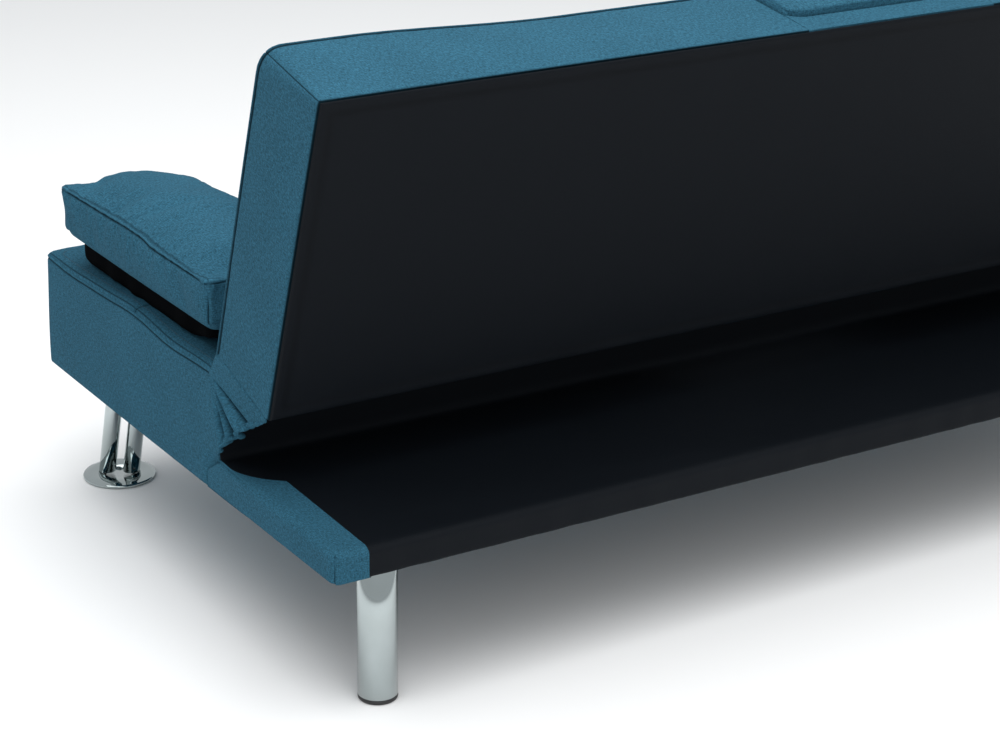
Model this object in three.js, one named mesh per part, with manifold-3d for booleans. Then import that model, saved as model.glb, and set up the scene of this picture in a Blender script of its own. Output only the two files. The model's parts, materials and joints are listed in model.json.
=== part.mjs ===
// Futon sofa bed: a long padded seat on a timber base, a click-clack backrest with a fold-down
// console in its middle, two loose arm cushions, and chrome legs.
// Millimetres. +X along the length (right, as seen from the front), +Y to the rear, +Z up.
// The origin is on the floor, under the middle of the object.

import * as THREE from 'three';
import { mergeVertices } from 'three/addons/utils/BufferGeometryUtils.js';
import Module from 'manifold-3d';

const wasm = await Module();
wasm.setup();

// ---------------------------------------------------------------- driving dimensions

const HALF_LENGTH = 835;
const FRONT_Y = -414;
const REAR_Y = 438;
const UNDERSIDE_Z = 186;
const SEAT_TOP_Z = 362;
const SEAT_EDGE_Z = 348;
const SEAT_REAR_Y = 131.7;
const EDGE_SLOPE = 40;

const COVER_WALL = 4;
const COVER_CLEARANCE = 0.5;
const COVER_INSET = COVER_WALL + COVER_CLEARANCE;
const GAP = 0.3;
const CUT_MARGIN = 10;
const ROUND_SEGMENTS = 32;

// The backrest turns about the seam where it meets the seat. In its own frame Y runs from its
// front face to its rear face and Z runs up along it.
const PIVOT_Y = 140;
const PIVOT_Z = 379;
const RECLINE = THREE.MathUtils.degToRad(18.4);
const BACK_DEPTH = 140.3;
const BACK_PANEL_THICKNESS = 2;
const BACK_COVER_DEPTH = BACK_DEPTH - BACK_PANEL_THICKNESS - GAP;
const BACK_FRONT_HEIGHT = 430.2;
const BACK_TOP_SLOPE = 1 / 6;
const BACK_EDGE_CHAMFER = 8;
const BACK_PANEL_MARGIN = 2;

// The console fills a gap in the middle of the backrest.
const RECESS_HALF_WIDTH = 151;
const CONSOLE_HALF_WIDTH = 149;
const CONSOLE_RADIUS = 40;
const CONSOLE_PIVOT_Y = 40;
const CONSOLE_PIVOT_Z = 56;
const CONSOLE_THICKNESS = 2 * CONSOLE_RADIUS;
const CONSOLE_TOP_RISE = 8;
const STRIP_FRONT = 84;
const WEDGE_FRONT = 14;
const FOLDED_CONSOLE_CLEARANCE = 3;

// The shelf behind the seat, which the reclined backrest lies on.
const SHELF_FRONT_TOP_Z = 232;
const SHELF_SLOPE = 0.0287;
const SHELF_FRONT_Y = 134;
const SHELF_EDGE_ROUND = 4;
const SHELF_CLOTH_HALF_LENGTH = 783.7;
const SHELF_CLOTH_THICKNESS = 2;
const CLOTH_WALL_TOP_Z = 345;
const END_COVER_INNER_X = 784;
const END_COVER_WALL = 3;

// Timber
const DUST_COVER_TOP_Z = 187.2;
const RAIL_BOTTOM_Z = 187.5;
const RAIL_TOP_Z = 250;
const RAIL_WIDTH = 30;
const END_RAIL_INNER_X = 785;
const END_RAIL_THICKNESS = 22;
const MIDDLE_RAIL_REAR_Y = 127;
const SHELF_REAR_RAIL_Y = 432;
const CROSS_RAIL_X = 270;
const SHELF_RAIL_DROP = 8;
const SHELF_BOARD_THICKNESS = 4;
const DECK_THICKNESS = 8;
const BACK_FRAME_FRONT = 93;
const BACK_FRAME_REAR = 127;
const BACK_FRAME_BOTTOM = 12;
const BACK_FRAME_TOP = 435;
const BACK_RAIL_HEIGHT = 45;
const BACK_STILE_INNER_X = 756;
const BACK_STILE_OUTER_X = 786.2;
const CONSOLE_STILE_INNER_X = 160;
const CONSOLE_STILE_THICKNESS = 18;
const CONSOLE_STILE_FRONT = 20;
const CONSOLE_STILE_TOP = 420;

// Hinges
const PIN_RADIUS = 6;
const BORE_RADIUS = 6.08;
const EYE_RADIUS = 12;
const EYE_NOTCH_RADIUS = 14;
const SEAT_PLATE_X = [779.5, 784.5];
const BACK_ARM_X = [786.5, 791.5];
const PIN_X = [776, 794];
const PIN_HEAD_RADIUS = 9;
const PIN_HEAD_THICKNESS = 2;
const PIN_HEAD_CLEARANCE = 4;
const HINGE_NOTCH_Y = [98, 140];
const HINGE_NOTCH_TOP_Z = 400;
const SEAT_PLATE_Y = [104, 126];
const SEAT_PLATE_NECK_Z = 350;
const BACK_ARM_Z = [20, 170];

// The gathered web between the seat end and the backrest end, as corners in Y and Z.
const GUSSET_OUTLINE = [
  [135, 350],
  [136, 243],
  [272, 331],
  [150, 366],
];
const GUSSET_THICKNESS = 3;
const GUSSET_INNER_X = HALF_LENGTH - 13;

// Legs
const FRONT_LEG_X = 752;
const FRONT_LEG_Y = -385;
const FRONT_DISC_RADIUS = 53;
const FRONT_DISC_THICKNESS = 8;
const FRONT_TUBE_RADIUS = 12.5;
const FRONT_TUBE_SPACING = 35;
const FRONT_LEG_LEAN = THREE.MathUtils.degToRad(7.75);
const FRONT_LEG_INWARD = new THREE.Vector2(-0.853, 0.522);
const FRONT_PLATE_SIZE = 80;
const REAR_LEG_X = 756;
const REAR_LEG_Y = 398;
const REAR_TUBE_RADIUS = 25;
const REAR_PLATE_SIZE = 58;
const TUBE_WALL = 1.5;
const LEG_PLATE_THICKNESS = 4;
const GLIDE_HEIGHT = 6;
const GLIDE_PLUG_TOP = 22;
const GLIDE_CHAMFER = 2;

// Arm cushions
const ARM_INNER_X = 645;
const ARM_FRONT_Y = -345;
const ARM_REAR_Y = 115;
const ARM_BOTTOM_Z = 385.3;
const ARM_TOP_Z = 500;
const ARM_SIDE_CHAMFER = 26;
const PAD_X = [662, 812];
const PAD_Y = [-335, 100];

// Cup tray
const TRAY_HALF_WIDTH = 115;
const TRAY_CENTRE_Z = 345;
const TRAY_HALF_HEIGHT = 54;
const TRAY_LIP = 3;
const TRAY_CORNER = 14;
const CUP_CENTRE_X = 57;
const CUP_INNER_RADIUS = 39;
const CUP_WALL = 2.5;
const CUP_DEPTH = 50;

// ---------------------------------------------------------------- materials

function material(color, roughness, metalness) {
  return new THREE.MeshStandardMaterial({ color, roughness, metalness });
}

const blueFabric = material(0x326a80, 0.95, 0);
const blackCloth = material(0x14181c, 0.8, 0);
const foam = material(0xe6dfc4, 0.95, 0);
const timber = material(0xb98d5c, 0.8, 0);
const chrome = material(0xc9ced0, 0.08, 1);
const steel = material(0x5b5f63, 0.4, 1);
const blackPlastic = material(0x111213, 0.5, 0);

// ---------------------------------------------------------------- geometry helpers

function boxBetween([x0, x1], [y0, y1], [z0, z1]) {
  const geometry = new THREE.BoxGeometry(x1 - x0, y1 - y0, z1 - z0);
  geometry.translate((x0 + x1) / 2, (y0 + y1) / 2, (z0 + z1) / 2);
  return geometry;
}

// An outline drawn in Y and Z, swept along X from x0 to x1.
function sweepAlongX(shape, [x0, x1]) {
  const geometry = new THREE.ExtrudeGeometry(shape, {
    depth: x1 - x0,
    bevelEnabled: false,
    curveSegments: ROUND_SEGMENTS / 2,
  });
  const toRow = new THREE.Matrix4().set(0, 0, 1, x0, 1, 0, 0, 0, 0, 1, 0, 0, 0, 0, 0, 1);
  return geometry.applyMatrix4(toRow);
}

// An outline drawn in X and Z, swept along Y from y0 to y1.
function sweepAlongY(shape, [y0, y1]) {
  const geometry = new THREE.ExtrudeGeometry(shape, { depth: y1 - y0, bevelEnabled: false });
  const toRow = new THREE.Matrix4().set(1, 0, 0, 0, 0, 0, -1, y1, 0, 1, 0, 0, 0, 0, 0, 1);
  return geometry.applyMatrix4(toRow);
}

function outline(points) {
  return new THREE.Shape(points.map(([a, b]) => new THREE.Vector2(a, b)));
}

function circleHole(y, z, radius) {
  return new THREE.Path().absarc(y, z, radius, 0, 2 * Math.PI, true);
}

// A round bar along X, centred on (y, z).
function barAlongX([x0, x1], y, z, radius) {
  const geometry = new THREE.CylinderGeometry(radius, radius, x1 - x0, ROUND_SEGMENTS);
  geometry.rotateZ(-Math.PI / 2);
  geometry.translate((x0 + x1) / 2, y, z);
  return geometry;
}

function toSolid(geometry) {
  const bare = geometry.clone();
  bare.deleteAttribute('normal');
  bare.deleteAttribute('uv');
  const welded = mergeVertices(bare, 1e-4);
  const mesh = new wasm.Mesh({
    numProp: 3,
    vertProperties: new Float32Array(welded.attributes.position.array),
    triVerts: new Uint32Array(welded.index.array),
  });
  return new wasm.Manifold(mesh);
}

function toGeometry(solid) {
  const mesh = solid.getMesh();
  const geometry = new THREE.BufferGeometry();
  geometry.setAttribute('position', new THREE.BufferAttribute(mesh.vertProperties, 3));
  geometry.setIndex(new THREE.BufferAttribute(mesh.triVerts, 1));
  geometry.computeVertexNormals();
  return geometry;
}

function cut(geometry, ...tools) {
  return toGeometry(tools.reduce((solid, tool) => solid.subtract(toSolid(tool)), toSolid(geometry)));
}

function join(first, ...others) {
  return toGeometry(others.reduce((solid, other) => solid.add(toSolid(other)), toSolid(first)));
}

function common(first, second) {
  return toGeometry(toSolid(first).intersect(toSolid(second)));
}

// The same geometry on the other side of the middle plane, with its faces still pointing out.
function mirrored(geometry) {
  const copy = geometry.index ? geometry.toNonIndexed() : geometry.clone();
  copy.scale(-1, 1, 1);
  const position = copy.attributes.position;
  const a = new THREE.Vector3();
  const c = new THREE.Vector3();
  for (let corner = 0; corner < position.count; corner += 3) {
    a.fromBufferAttribute(position, corner);
    c.fromBufferAttribute(position, corner + 2);
    position.setXYZ(corner, c.x, c.y, c.z);
    position.setXYZ(corner + 2, a.x, a.y, a.z);
  }
  copy.computeVertexNormals();
  return copy;
}

function add(parent, name, geometry, look) {
  const mesh = new THREE.Mesh(geometry, look);
  mesh.name = name;
  parent.add(mesh);
}

// Adds one piece at the right-hand end and its mirror image at the left-hand end.
function addPair(parent, name, geometry, look, ending = '') {
  add(parent, `${name}_right${ending}`, geometry, look);
  add(parent, `${name}_left${ending}`, mirrored(geometry), look);
}

// ---------------------------------------------------------------- base frame

function shelfTop(y) {
  return SHELF_FRONT_TOP_Z - (y - SHELF_FRONT_Y) * SHELF_SLOPE;
}

function shelfRailTop(y) {
  return shelfTop(y) - SHELF_RAIL_DROP;
}

function addBaseFrame(parent) {
  const railFront = FRONT_Y + COVER_INSET;
  const endRail = outline([
    [railFront, RAIL_BOTTOM_Z],
    [SHELF_REAR_RAIL_Y, RAIL_BOTTOM_Z],
    [SHELF_REAR_RAIL_Y, shelfRailTop(SHELF_REAR_RAIL_Y)],
    [MIDDLE_RAIL_REAR_Y, shelfRailTop(MIDDLE_RAIL_REAR_Y)],
    [MIDDLE_RAIL_REAR_Y, RAIL_TOP_Z],
    [railFront, RAIL_TOP_Z],
  ]);
  const endRailX = [END_RAIL_INNER_X, END_RAIL_INNER_X + END_RAIL_THICKNESS];
  addPair(parent, 'frame_end_rail', sweepAlongX(endRail, endRailX), timber);

  const acrossX = END_RAIL_INNER_X - GAP;
  const frontRailRear = railFront + RAIL_WIDTH;
  const middleRailFront = MIDDLE_RAIL_REAR_Y - RAIL_WIDTH;
  const rearRailFront = SHELF_REAR_RAIL_Y - RAIL_WIDTH;
  const full = [-acrossX, acrossX];
  const tall = [RAIL_BOTTOM_Z, RAIL_TOP_Z];
  add(parent, 'frame_front_rail', boxBetween(full, [railFront, frontRailRear], tall), timber);

  // The middle rail stops short of the hinge plates, which are screwed to the end rails.
  const middleX = SEAT_PLATE_X[0] - 1;
  const middleRail = boxBetween([-middleX, middleX], [middleRailFront, MIDDLE_RAIL_REAR_Y], tall);
  add(parent, 'frame_middle_rail', middleRail, timber);

  const low = [RAIL_BOTTOM_Z, shelfRailTop(SHELF_REAR_RAIL_Y)];
  add(parent, 'frame_rear_rail', boxBetween(full, [rearRailFront, SHELF_REAR_RAIL_Y], low), timber);

  const crossX = [CROSS_RAIL_X, CROSS_RAIL_X + RAIL_WIDTH];
  const seatCrossY = [frontRailRear + GAP, middleRailFront - GAP];
  const shelfCrossY = [MIDDLE_RAIL_REAR_Y + GAP, rearRailFront - GAP];
  addPair(parent, 'frame_cross_rail', boxBetween(crossX, seatCrossY, tall), timber);
  addPair(parent, 'shelf_cross_rail', boxBetween(crossX, shelfCrossY, low), timber);

  const sheetX = HALF_LENGTH - COVER_WALL - 1;
  const dustCover = boxBetween(
    [-sheetX, sheetX],
    [railFront, SHELF_REAR_RAIL_Y],
    [UNDERSIDE_Z, DUST_COVER_TOP_Z],
  );
  add(parent, 'base_dust_cover', dustCover, blackCloth);
}

// A notch for the hinge plate and the head of its pin, at the rear of the seat.
function hingeNotches() {
  const notchX = [PIN_X[0] - PIN_HEAD_CLEARANCE, SEAT_PLATE_X[1] + GAP];
  const notch = boxBetween(notchX, HINGE_NOTCH_Y, [RAIL_TOP_Z - CUT_MARGIN, HINGE_NOTCH_TOP_Z]);
  return [notch, mirrored(notch)];
}

function seatBlock(inset) {
  const front = FRONT_Y + inset;
  const rear = SEAT_REAR_Y - inset;
  const end = HALF_LENGTH - inset;
  const top = SEAT_TOP_Z - inset;
  const edge = SEAT_EDGE_Z - inset;
  const bottom = UNDERSIDE_Z;
  const depthwise = outline([
    [front, bottom],
    [rear, bottom],
    [rear, edge],
    [rear - EDGE_SLOPE, top],
    [front + EDGE_SLOPE, top],
    [front, edge],
  ]);
  const lengthwise = outline([
    [-end, bottom],
    [end, bottom],
    [end, edge],
    [end - EDGE_SLOPE, top],
    [-end + EDGE_SLOPE, top],
    [-end, edge],
  ]);
  return common(sweepAlongX(depthwise, [-end, end]), sweepAlongY(lengthwise, [front, rear]));
}

function addSeat(parent) {
  const deckBottom = RAIL_TOP_Z + GAP;
  const deckTop = deckBottom + DECK_THICKNESS;
  const across = [-HALF_LENGTH + COVER_INSET, HALF_LENGTH - COVER_INSET];
  const deep = [FRONT_Y + COVER_INSET, SEAT_REAR_Y - COVER_INSET];
  const deck = boxBetween(across, deep, [deckBottom, deckTop]);
  add(parent, 'seat_deck', cut(deck, ...hingeNotches()), timber);

  const belowFoam = boxBetween([-HALF_LENGTH, HALF_LENGTH], [FRONT_Y, REAR_Y], [0, deckTop + GAP]);
  add(parent, 'seat_foam', cut(seatBlock(COVER_INSET), belowFoam, ...hingeNotches()), foam);

  const inside = seatBlock(COVER_WALL);
  const insideX = [-HALF_LENGTH + COVER_WALL, HALF_LENGTH - COVER_WALL];
  const insideY = [FRONT_Y + COVER_WALL, SEAT_REAR_Y - COVER_WALL];
  const opening = boxBetween(insideX, insideY, [UNDERSIDE_Z - CUT_MARGIN, UNDERSIDE_Z + CUT_MARGIN]);
  // The rails run on under the shelf, through the open lower part of the rear wall.
  const rearWallY = [SEAT_REAR_Y - 2 * COVER_WALL, SEAT_REAR_Y + CUT_MARGIN];
  const rearOpening = boxBetween(insideX, rearWallY, [UNDERSIDE_Z - CUT_MARGIN, SHELF_FRONT_TOP_Z]);
  const cover = cut(seatBlock(0), inside, opening, rearOpening, ...hingeNotches());
  add(parent, 'seat_cover', cover, blueFabric);
}

// ---------------------------------------------------------------- shelf

function addShelf(parent) {
  const boardRear = SHELF_REAR_RAIL_Y - SHELF_BOARD_THICKNESS;
  const board = outline([
    [SHELF_FRONT_Y, shelfRailTop(SHELF_FRONT_Y) + GAP],
    [boardRear, shelfRailTop(boardRear) + GAP],
    [boardRear, shelfRailTop(boardRear) + GAP + SHELF_BOARD_THICKNESS],
    [SHELF_FRONT_Y, shelfRailTop(SHELF_FRONT_Y) + GAP + SHELF_BOARD_THICKNESS],
  ]);
  const boardX = HALF_LENGTH - END_COVER_WALL - COVER_CLEARANCE;
  add(parent, 'shelf_board', sweepAlongX(board, [-boardX, boardX]), timber);

  const thin = SHELF_CLOTH_THICKNESS;
  const wallFront = SHELF_FRONT_Y - thin;
  const roundStart = REAR_Y - SHELF_EDGE_ROUND;
  const rearTop = shelfTop(roundStart);
  const cloth = outline([
    [wallFront, CLOTH_WALL_TOP_Z],
    [wallFront, shelfTop(SHELF_FRONT_Y) - thin],
    [roundStart - 1, rearTop - thin],
    [REAR_Y - thin, rearTop - SHELF_EDGE_ROUND - 1],
    [REAR_Y - thin, UNDERSIDE_Z],
    [REAR_Y, UNDERSIDE_Z],
    [REAR_Y, rearTop - SHELF_EDGE_ROUND],
    [roundStart, rearTop],
    [SHELF_FRONT_Y, shelfTop(SHELF_FRONT_Y)],
    [SHELF_FRONT_Y, CLOTH_WALL_TOP_Z],
  ]);
  const clothX = [-SHELF_CLOTH_HALF_LENGTH, SHELF_CLOTH_HALF_LENGTH];
  add(parent, 'shelf_cloth', sweepAlongX(cloth, clothX), blackCloth);

  const coverFront = SEAT_REAR_Y + GAP;
  const outer = outline([
    [coverFront, UNDERSIDE_Z],
    [REAR_Y, UNDERSIDE_Z],
    [REAR_Y, rearTop - SHELF_EDGE_ROUND],
    [roundStart, rearTop],
    [coverFront, shelfTop(coverFront)],
  ]);
  const wall = END_COVER_WALL;
  const inner = outline([
    [coverFront - CUT_MARGIN, UNDERSIDE_Z - CUT_MARGIN],
    [REAR_Y - wall, UNDERSIDE_Z - CUT_MARGIN],
    [REAR_Y - wall, rearTop - SHELF_EDGE_ROUND - wall],
    [roundStart - wall, rearTop - wall],
    [coverFront - CUT_MARGIN, shelfTop(coverFront - CUT_MARGIN) - wall],
  ]);
  const shell = cut(
    sweepAlongX(outer, [END_COVER_INNER_X, HALF_LENGTH]),
    sweepAlongX(inner, [END_COVER_INNER_X - CUT_MARGIN, HALF_LENGTH - wall]),
  );
  addPair(parent, 'shelf_end_cover', shell, blueFabric);
}

// ---------------------------------------------------------------- legs

function tube(radius, bottom, top) {
  const ring = new THREE.Shape().absarc(0, 0, radius, 0, 2 * Math.PI, false);
  ring.holes.push(circleHole(0, 0, radius - TUBE_WALL));
  return new THREE.ExtrudeGeometry(ring, {
    depth: top - bottom,
    bevelEnabled: false,
    curveSegments: ROUND_SEGMENTS / 2,
  });
}

function legPlate(x, y, size) {
  const top = UNDERSIDE_Z - GAP;
  const half = size / 2;
  return boxBetween([x - half, x + half], [y - half, y + half], [top - LEG_PLATE_THICKNESS, top]);
}

function turned(profile) {
  const points = profile.map(([r, z]) => new THREE.Vector2(r, z));
  const geometry = new THREE.LatheGeometry(points, ROUND_SEGMENTS);
  return geometry.rotateX(Math.PI / 2);
}

function addFrontLegs(parent) {
  const bottom = FRONT_DISC_THICKNESS + GAP;
  const top = UNDERSIDE_Z - 2 * GAP - LEG_PLATE_THICKNESS;
  const drift = Math.tan(FRONT_LEG_LEAN);
  const leanX = FRONT_LEG_INWARD.x * drift;
  const leanY = FRONT_LEG_INWARD.y * drift;
  const lean = new THREE.Matrix4().set(1, 0, leanX, 0, 0, 1, leanY, 0, 0, 0, 1, 0, 0, 0, 0, 1);
  const places = { inner: FRONT_TUBE_SPACING / 2, outer: -FRONT_TUBE_SPACING / 2 };
  for (const [place, offset] of Object.entries(places)) {
    const geometry = tube(FRONT_TUBE_RADIUS, bottom, top).applyMatrix4(lean);
    const x = FRONT_LEG_X + FRONT_LEG_INWARD.x * offset;
    const y = FRONT_LEG_Y + FRONT_LEG_INWARD.y * offset;
    geometry.translate(x, y, bottom);
    addPair(parent, 'front_leg', geometry, chrome, `_tube_${place}`);
  }
  const disc = turned([
    [0, 0],
    [FRONT_DISC_RADIUS - 3, 0],
    [FRONT_DISC_RADIUS, 2.5],
    [FRONT_DISC_RADIUS, 5],
    [FRONT_DISC_RADIUS - 4, FRONT_DISC_THICKNESS],
    [0, FRONT_DISC_THICKNESS],
  ]);
  disc.translate(FRONT_LEG_X, FRONT_LEG_Y, 0);
  addPair(parent, 'front_leg', disc, chrome, '_disc');
  const rise = top - bottom;
  const plateX = FRONT_LEG_X + leanX * rise;
  const plateY = FRONT_LEG_Y + leanY * rise;
  addPair(parent, 'front_leg', legPlate(plateX, plateY, FRONT_PLATE_SIZE), steel, '_plate');
}

function addRearLegs(parent) {
  const bottom = GLIDE_HEIGHT + GAP;
  const top = UNDERSIDE_Z - 2 * GAP - LEG_PLATE_THICKNESS;
  const leg = tube(REAR_TUBE_RADIUS, bottom, top);
  leg.translate(REAR_LEG_X, REAR_LEG_Y, bottom);
  addPair(parent, 'rear_leg', leg, chrome, '_tube');
  const plugRadius = REAR_TUBE_RADIUS - TUBE_WALL - GAP;
  const glide = turned([
    [0, 0],
    [REAR_TUBE_RADIUS - GLIDE_CHAMFER, 0],
    [REAR_TUBE_RADIUS, GLIDE_CHAMFER],
    [REAR_TUBE_RADIUS, GLIDE_HEIGHT],
    [plugRadius, GLIDE_HEIGHT],
    [plugRadius, GLIDE_PLUG_TOP],
    [0, GLIDE_PLUG_TOP],
  ]);
  glide.translate(REAR_LEG_X, REAR_LEG_Y, 0);
  addPair(parent, 'rear_leg', glide, blackPlastic, '_glide');
  addPair(parent, 'rear_leg', legPlate(REAR_LEG_X, REAR_LEG_Y, REAR_PLATE_SIZE), steel, '_plate');
}

// ---------------------------------------------------------------- hinges

function addSeatHinges(parent) {
  // An upright strip screwed to the end rail, ending in an eye round the pivot.
  const plate = new THREE.Shape();
  plate.absarc(PIVOT_Y, PIVOT_Z, EYE_RADIUS, -Math.PI / 2, Math.PI, false);
  const [front, rear] = SEAT_PLATE_Y;
  plate.lineTo(front, SEAT_PLATE_NECK_Z);
  plate.lineTo(front, RAIL_BOTTOM_Z + 8);
  plate.lineTo(rear, RAIL_BOTTOM_Z + 8);
  plate.lineTo(rear, SEAT_PLATE_NECK_Z);
  plate.holes.push(circleHole(PIVOT_Y, PIVOT_Z, BORE_RADIUS));
  addPair(parent, 'hinge_seat_plate', sweepAlongX(plate, SEAT_PLATE_X), steel);

  const [start, end] = PIN_X;
  const pin = turned([
    [0, start - PIN_HEAD_THICKNESS],
    [PIN_HEAD_RADIUS, start - PIN_HEAD_THICKNESS],
    [PIN_HEAD_RADIUS, start],
    [PIN_RADIUS, start],
    [PIN_RADIUS, end],
    [PIN_HEAD_RADIUS, end],
    [PIN_HEAD_RADIUS, end + PIN_HEAD_THICKNESS],
    [0, end + PIN_HEAD_THICKNESS],
  ]);
  pin.rotateY(Math.PI / 2);
  pin.translate(0, PIVOT_Y, PIVOT_Z);
  addPair(parent, 'hinge_pin', pin, steel);
}

function addGussets(parent) {
  const across = [GUSSET_INNER_X, GUSSET_INNER_X + GUSSET_THICKNESS];
  addPair(parent, 'gusset', sweepAlongX(outline(GUSSET_OUTLINE), across), blueFabric);
}

// ---------------------------------------------------------------- backrest

function backTop(y) {
  return BACK_FRONT_HEIGHT + y * BACK_TOP_SLOPE;
}

function backBlock(inset, [x0, x1], rear) {
  const front = inset;
  const bottom = inset;
  const chamfer = BACK_EDGE_CHAMFER;
  const side = outline([
    [front + chamfer, bottom],
    [rear, bottom],
    [rear, backTop(rear) - inset],
    [front + chamfer, backTop(front + chamfer) - inset],
    [front, backTop(front) - inset - chamfer],
    [front, bottom + chamfer],
  ]);
  return sweepAlongX(side, [x0, x1]);
}

function addBackArms(parent) {
  const arm = new THREE.Shape();
  const upper = Math.PI / 3;
  const lower = Math.PI / 6;
  arm.absarc(0, 0, EYE_RADIUS, upper, lower + 2 * Math.PI, false);
  const [low, high] = BACK_ARM_Z;
  arm.lineTo(BACK_FRAME_REAR, low);
  arm.lineTo(BACK_FRAME_REAR, high);
  arm.lineTo(BACK_FRAME_FRONT, high);
  arm.holes.push(circleHole(0, 0, BORE_RADIUS));
  addPair(parent, 'hinge_back_arm', sweepAlongX(arm, BACK_ARM_X), steel);
}

function addBackFrame(parent) {
  const depth = [BACK_FRAME_FRONT, BACK_FRAME_REAR];
  const railX = [-BACK_STILE_INNER_X + GAP, BACK_STILE_INNER_X - GAP];
  const bottomZ = [BACK_FRAME_BOTTOM, BACK_FRAME_BOTTOM + BACK_RAIL_HEIGHT];
  const topZ = [BACK_FRAME_TOP - BACK_RAIL_HEIGHT, BACK_FRAME_TOP];
  add(parent, 'back_frame_bottom_rail', boxBetween(railX, depth, bottomZ), timber);
  add(parent, 'back_frame_top_rail', boxBetween(railX, depth, topZ), timber);
  const stileX = [BACK_STILE_INNER_X, BACK_STILE_OUTER_X];
  const stileZ = [BACK_FRAME_BOTTOM, BACK_FRAME_TOP];
  addPair(parent, 'back_frame_stile', boxBetween(stileX, depth, stileZ), timber);

  // Boards on each side of the console, with the bores that carry its axle.
  const side = outline([
    [CONSOLE_STILE_FRONT, BACK_FRAME_BOTTOM],
    [BACK_FRAME_FRONT - GAP, BACK_FRAME_BOTTOM],
    [BACK_FRAME_FRONT - GAP, CONSOLE_STILE_TOP],
    [CONSOLE_STILE_FRONT, CONSOLE_STILE_TOP],
  ]);
  side.holes.push(circleHole(CONSOLE_PIVOT_Y, CONSOLE_PIVOT_Z, BORE_RADIUS));
  const boardX = [CONSOLE_STILE_INNER_X, CONSOLE_STILE_INNER_X + CONSOLE_STILE_THICKNESS];
  addPair(parent, 'back_frame_console_side', sweepAlongX(side, boardX), timber);
}

function addBackPadding(parent) {
  const foamX = [CONSOLE_STILE_INNER_X + CONSOLE_STILE_THICKNESS + 1, HALF_LENGTH - COVER_INSET];
  const notchX = [PIN_X[0] - PIN_HEAD_CLEARANCE, PIN_X[1] + PIN_HEAD_CLEARANCE];
  const eyeNotch = barAlongX(notchX, 0, 0, EYE_NOTCH_RADIUS);
  const armSlot = boxBetween(
    [BACK_ARM_X[0] - 1, BACK_ARM_X[1] + 1],
    [-CUT_MARGIN, BACK_FRAME_FRONT + CUT_MARGIN],
    [-CUT_MARGIN, BACK_ARM_Z[1] + 2],
  );
  const padding = backBlock(COVER_INSET, foamX, BACK_FRAME_FRONT - COVER_CLEARANCE);
  addPair(parent, 'back_foam', cut(padding, eyeNotch, armSlot), foam);

  const shell = backBlock(0, [RECESS_HALF_WIDTH, HALF_LENGTH], BACK_COVER_DEPTH);
  const hollowX = [RECESS_HALF_WIDTH + COVER_WALL, HALF_LENGTH - COVER_WALL];
  const hollow = backBlock(COVER_WALL, hollowX, BACK_COVER_DEPTH + CUT_MARGIN);
  const [axleY, axleZ] = [CONSOLE_PIVOT_Y, CONSOLE_PIVOT_Z];
  const sideWallX = [RECESS_HALF_WIDTH - CUT_MARGIN, RECESS_HALF_WIDTH + COVER_WALL + 2];
  const axleHole = barAlongX(sideWallX, axleY, axleZ, PIN_RADIUS + 2);
  // The rails of the frame run on behind the console, through the rear of the inner side wall.
  const railSlots = boxBetween(
    sideWallX,
    [BACK_FRAME_FRONT - 1, BACK_DEPTH + CUT_MARGIN],
    [BACK_FRAME_BOTTOM - COVER_WALL, BACK_FRAME_TOP + COVER_WALL],
  );
  addPair(parent, 'back_cover', cut(shell, hollow, eyeNotch, axleHole, railSlots), blueFabric);

  // Behind the console the cover is a thin strip, with a wedge below that the folded console clears.
  const wedgeTop = (y) => {
    const drop = y * Math.sin(RECLINE) - FOLDED_CONSOLE_CLEARANCE;
    return drop / Math.cos(RECLINE);
  };
  const wall = COVER_WALL;
  const rear = BACK_COVER_DEPTH;
  const strip = outline([
    [WEDGE_FRONT, 0],
    [rear, 0],
    [rear, wall],
    [STRIP_FRONT + wall, wall],
    [STRIP_FRONT + wall, backTop(STRIP_FRONT + wall) - wall],
    [rear, backTop(rear) - wall],
    [rear, backTop(rear)],
    [STRIP_FRONT, backTop(STRIP_FRONT)],
    [STRIP_FRONT, wedgeTop(STRIP_FRONT)],
    [WEDGE_FRONT, wedgeTop(WEDGE_FRONT)],
  ]);
  const stripX = [-RECESS_HALF_WIDTH + GAP, RECESS_HALF_WIDTH - GAP];
  add(parent, 'back_cover_center', sweepAlongX(strip, stripX), blueFabric);

  const panelX = HALF_LENGTH - BACK_PANEL_MARGIN;
  const panelY = [BACK_DEPTH - BACK_PANEL_THICKNESS, BACK_DEPTH];
  const panelZ = [BACK_PANEL_MARGIN, backTop(BACK_DEPTH) - BACK_PANEL_MARGIN];
  add(parent, 'back_dust_panel', boxBetween([-panelX, panelX], panelY, panelZ), blackCloth);
}

// ---------------------------------------------------------------- console

function consoleBlock(inset, halfWidth) {
  const front = CONSOLE_PIVOT_Y - CONSOLE_RADIUS + inset;
  const rear = CONSOLE_PIVOT_Y + CONSOLE_RADIUS - inset;
  const side = new THREE.Shape();
  side.absarc(CONSOLE_PIVOT_Y, CONSOLE_PIVOT_Z, CONSOLE_RADIUS - inset, Math.PI, 2 * Math.PI, false);
  side.lineTo(rear, backTop(rear) + CONSOLE_TOP_RISE - inset);
  side.lineTo(front, backTop(front) + CONSOLE_TOP_RISE - inset);
  return sweepAlongX(side, [-halfWidth, halfWidth]);
}

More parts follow.
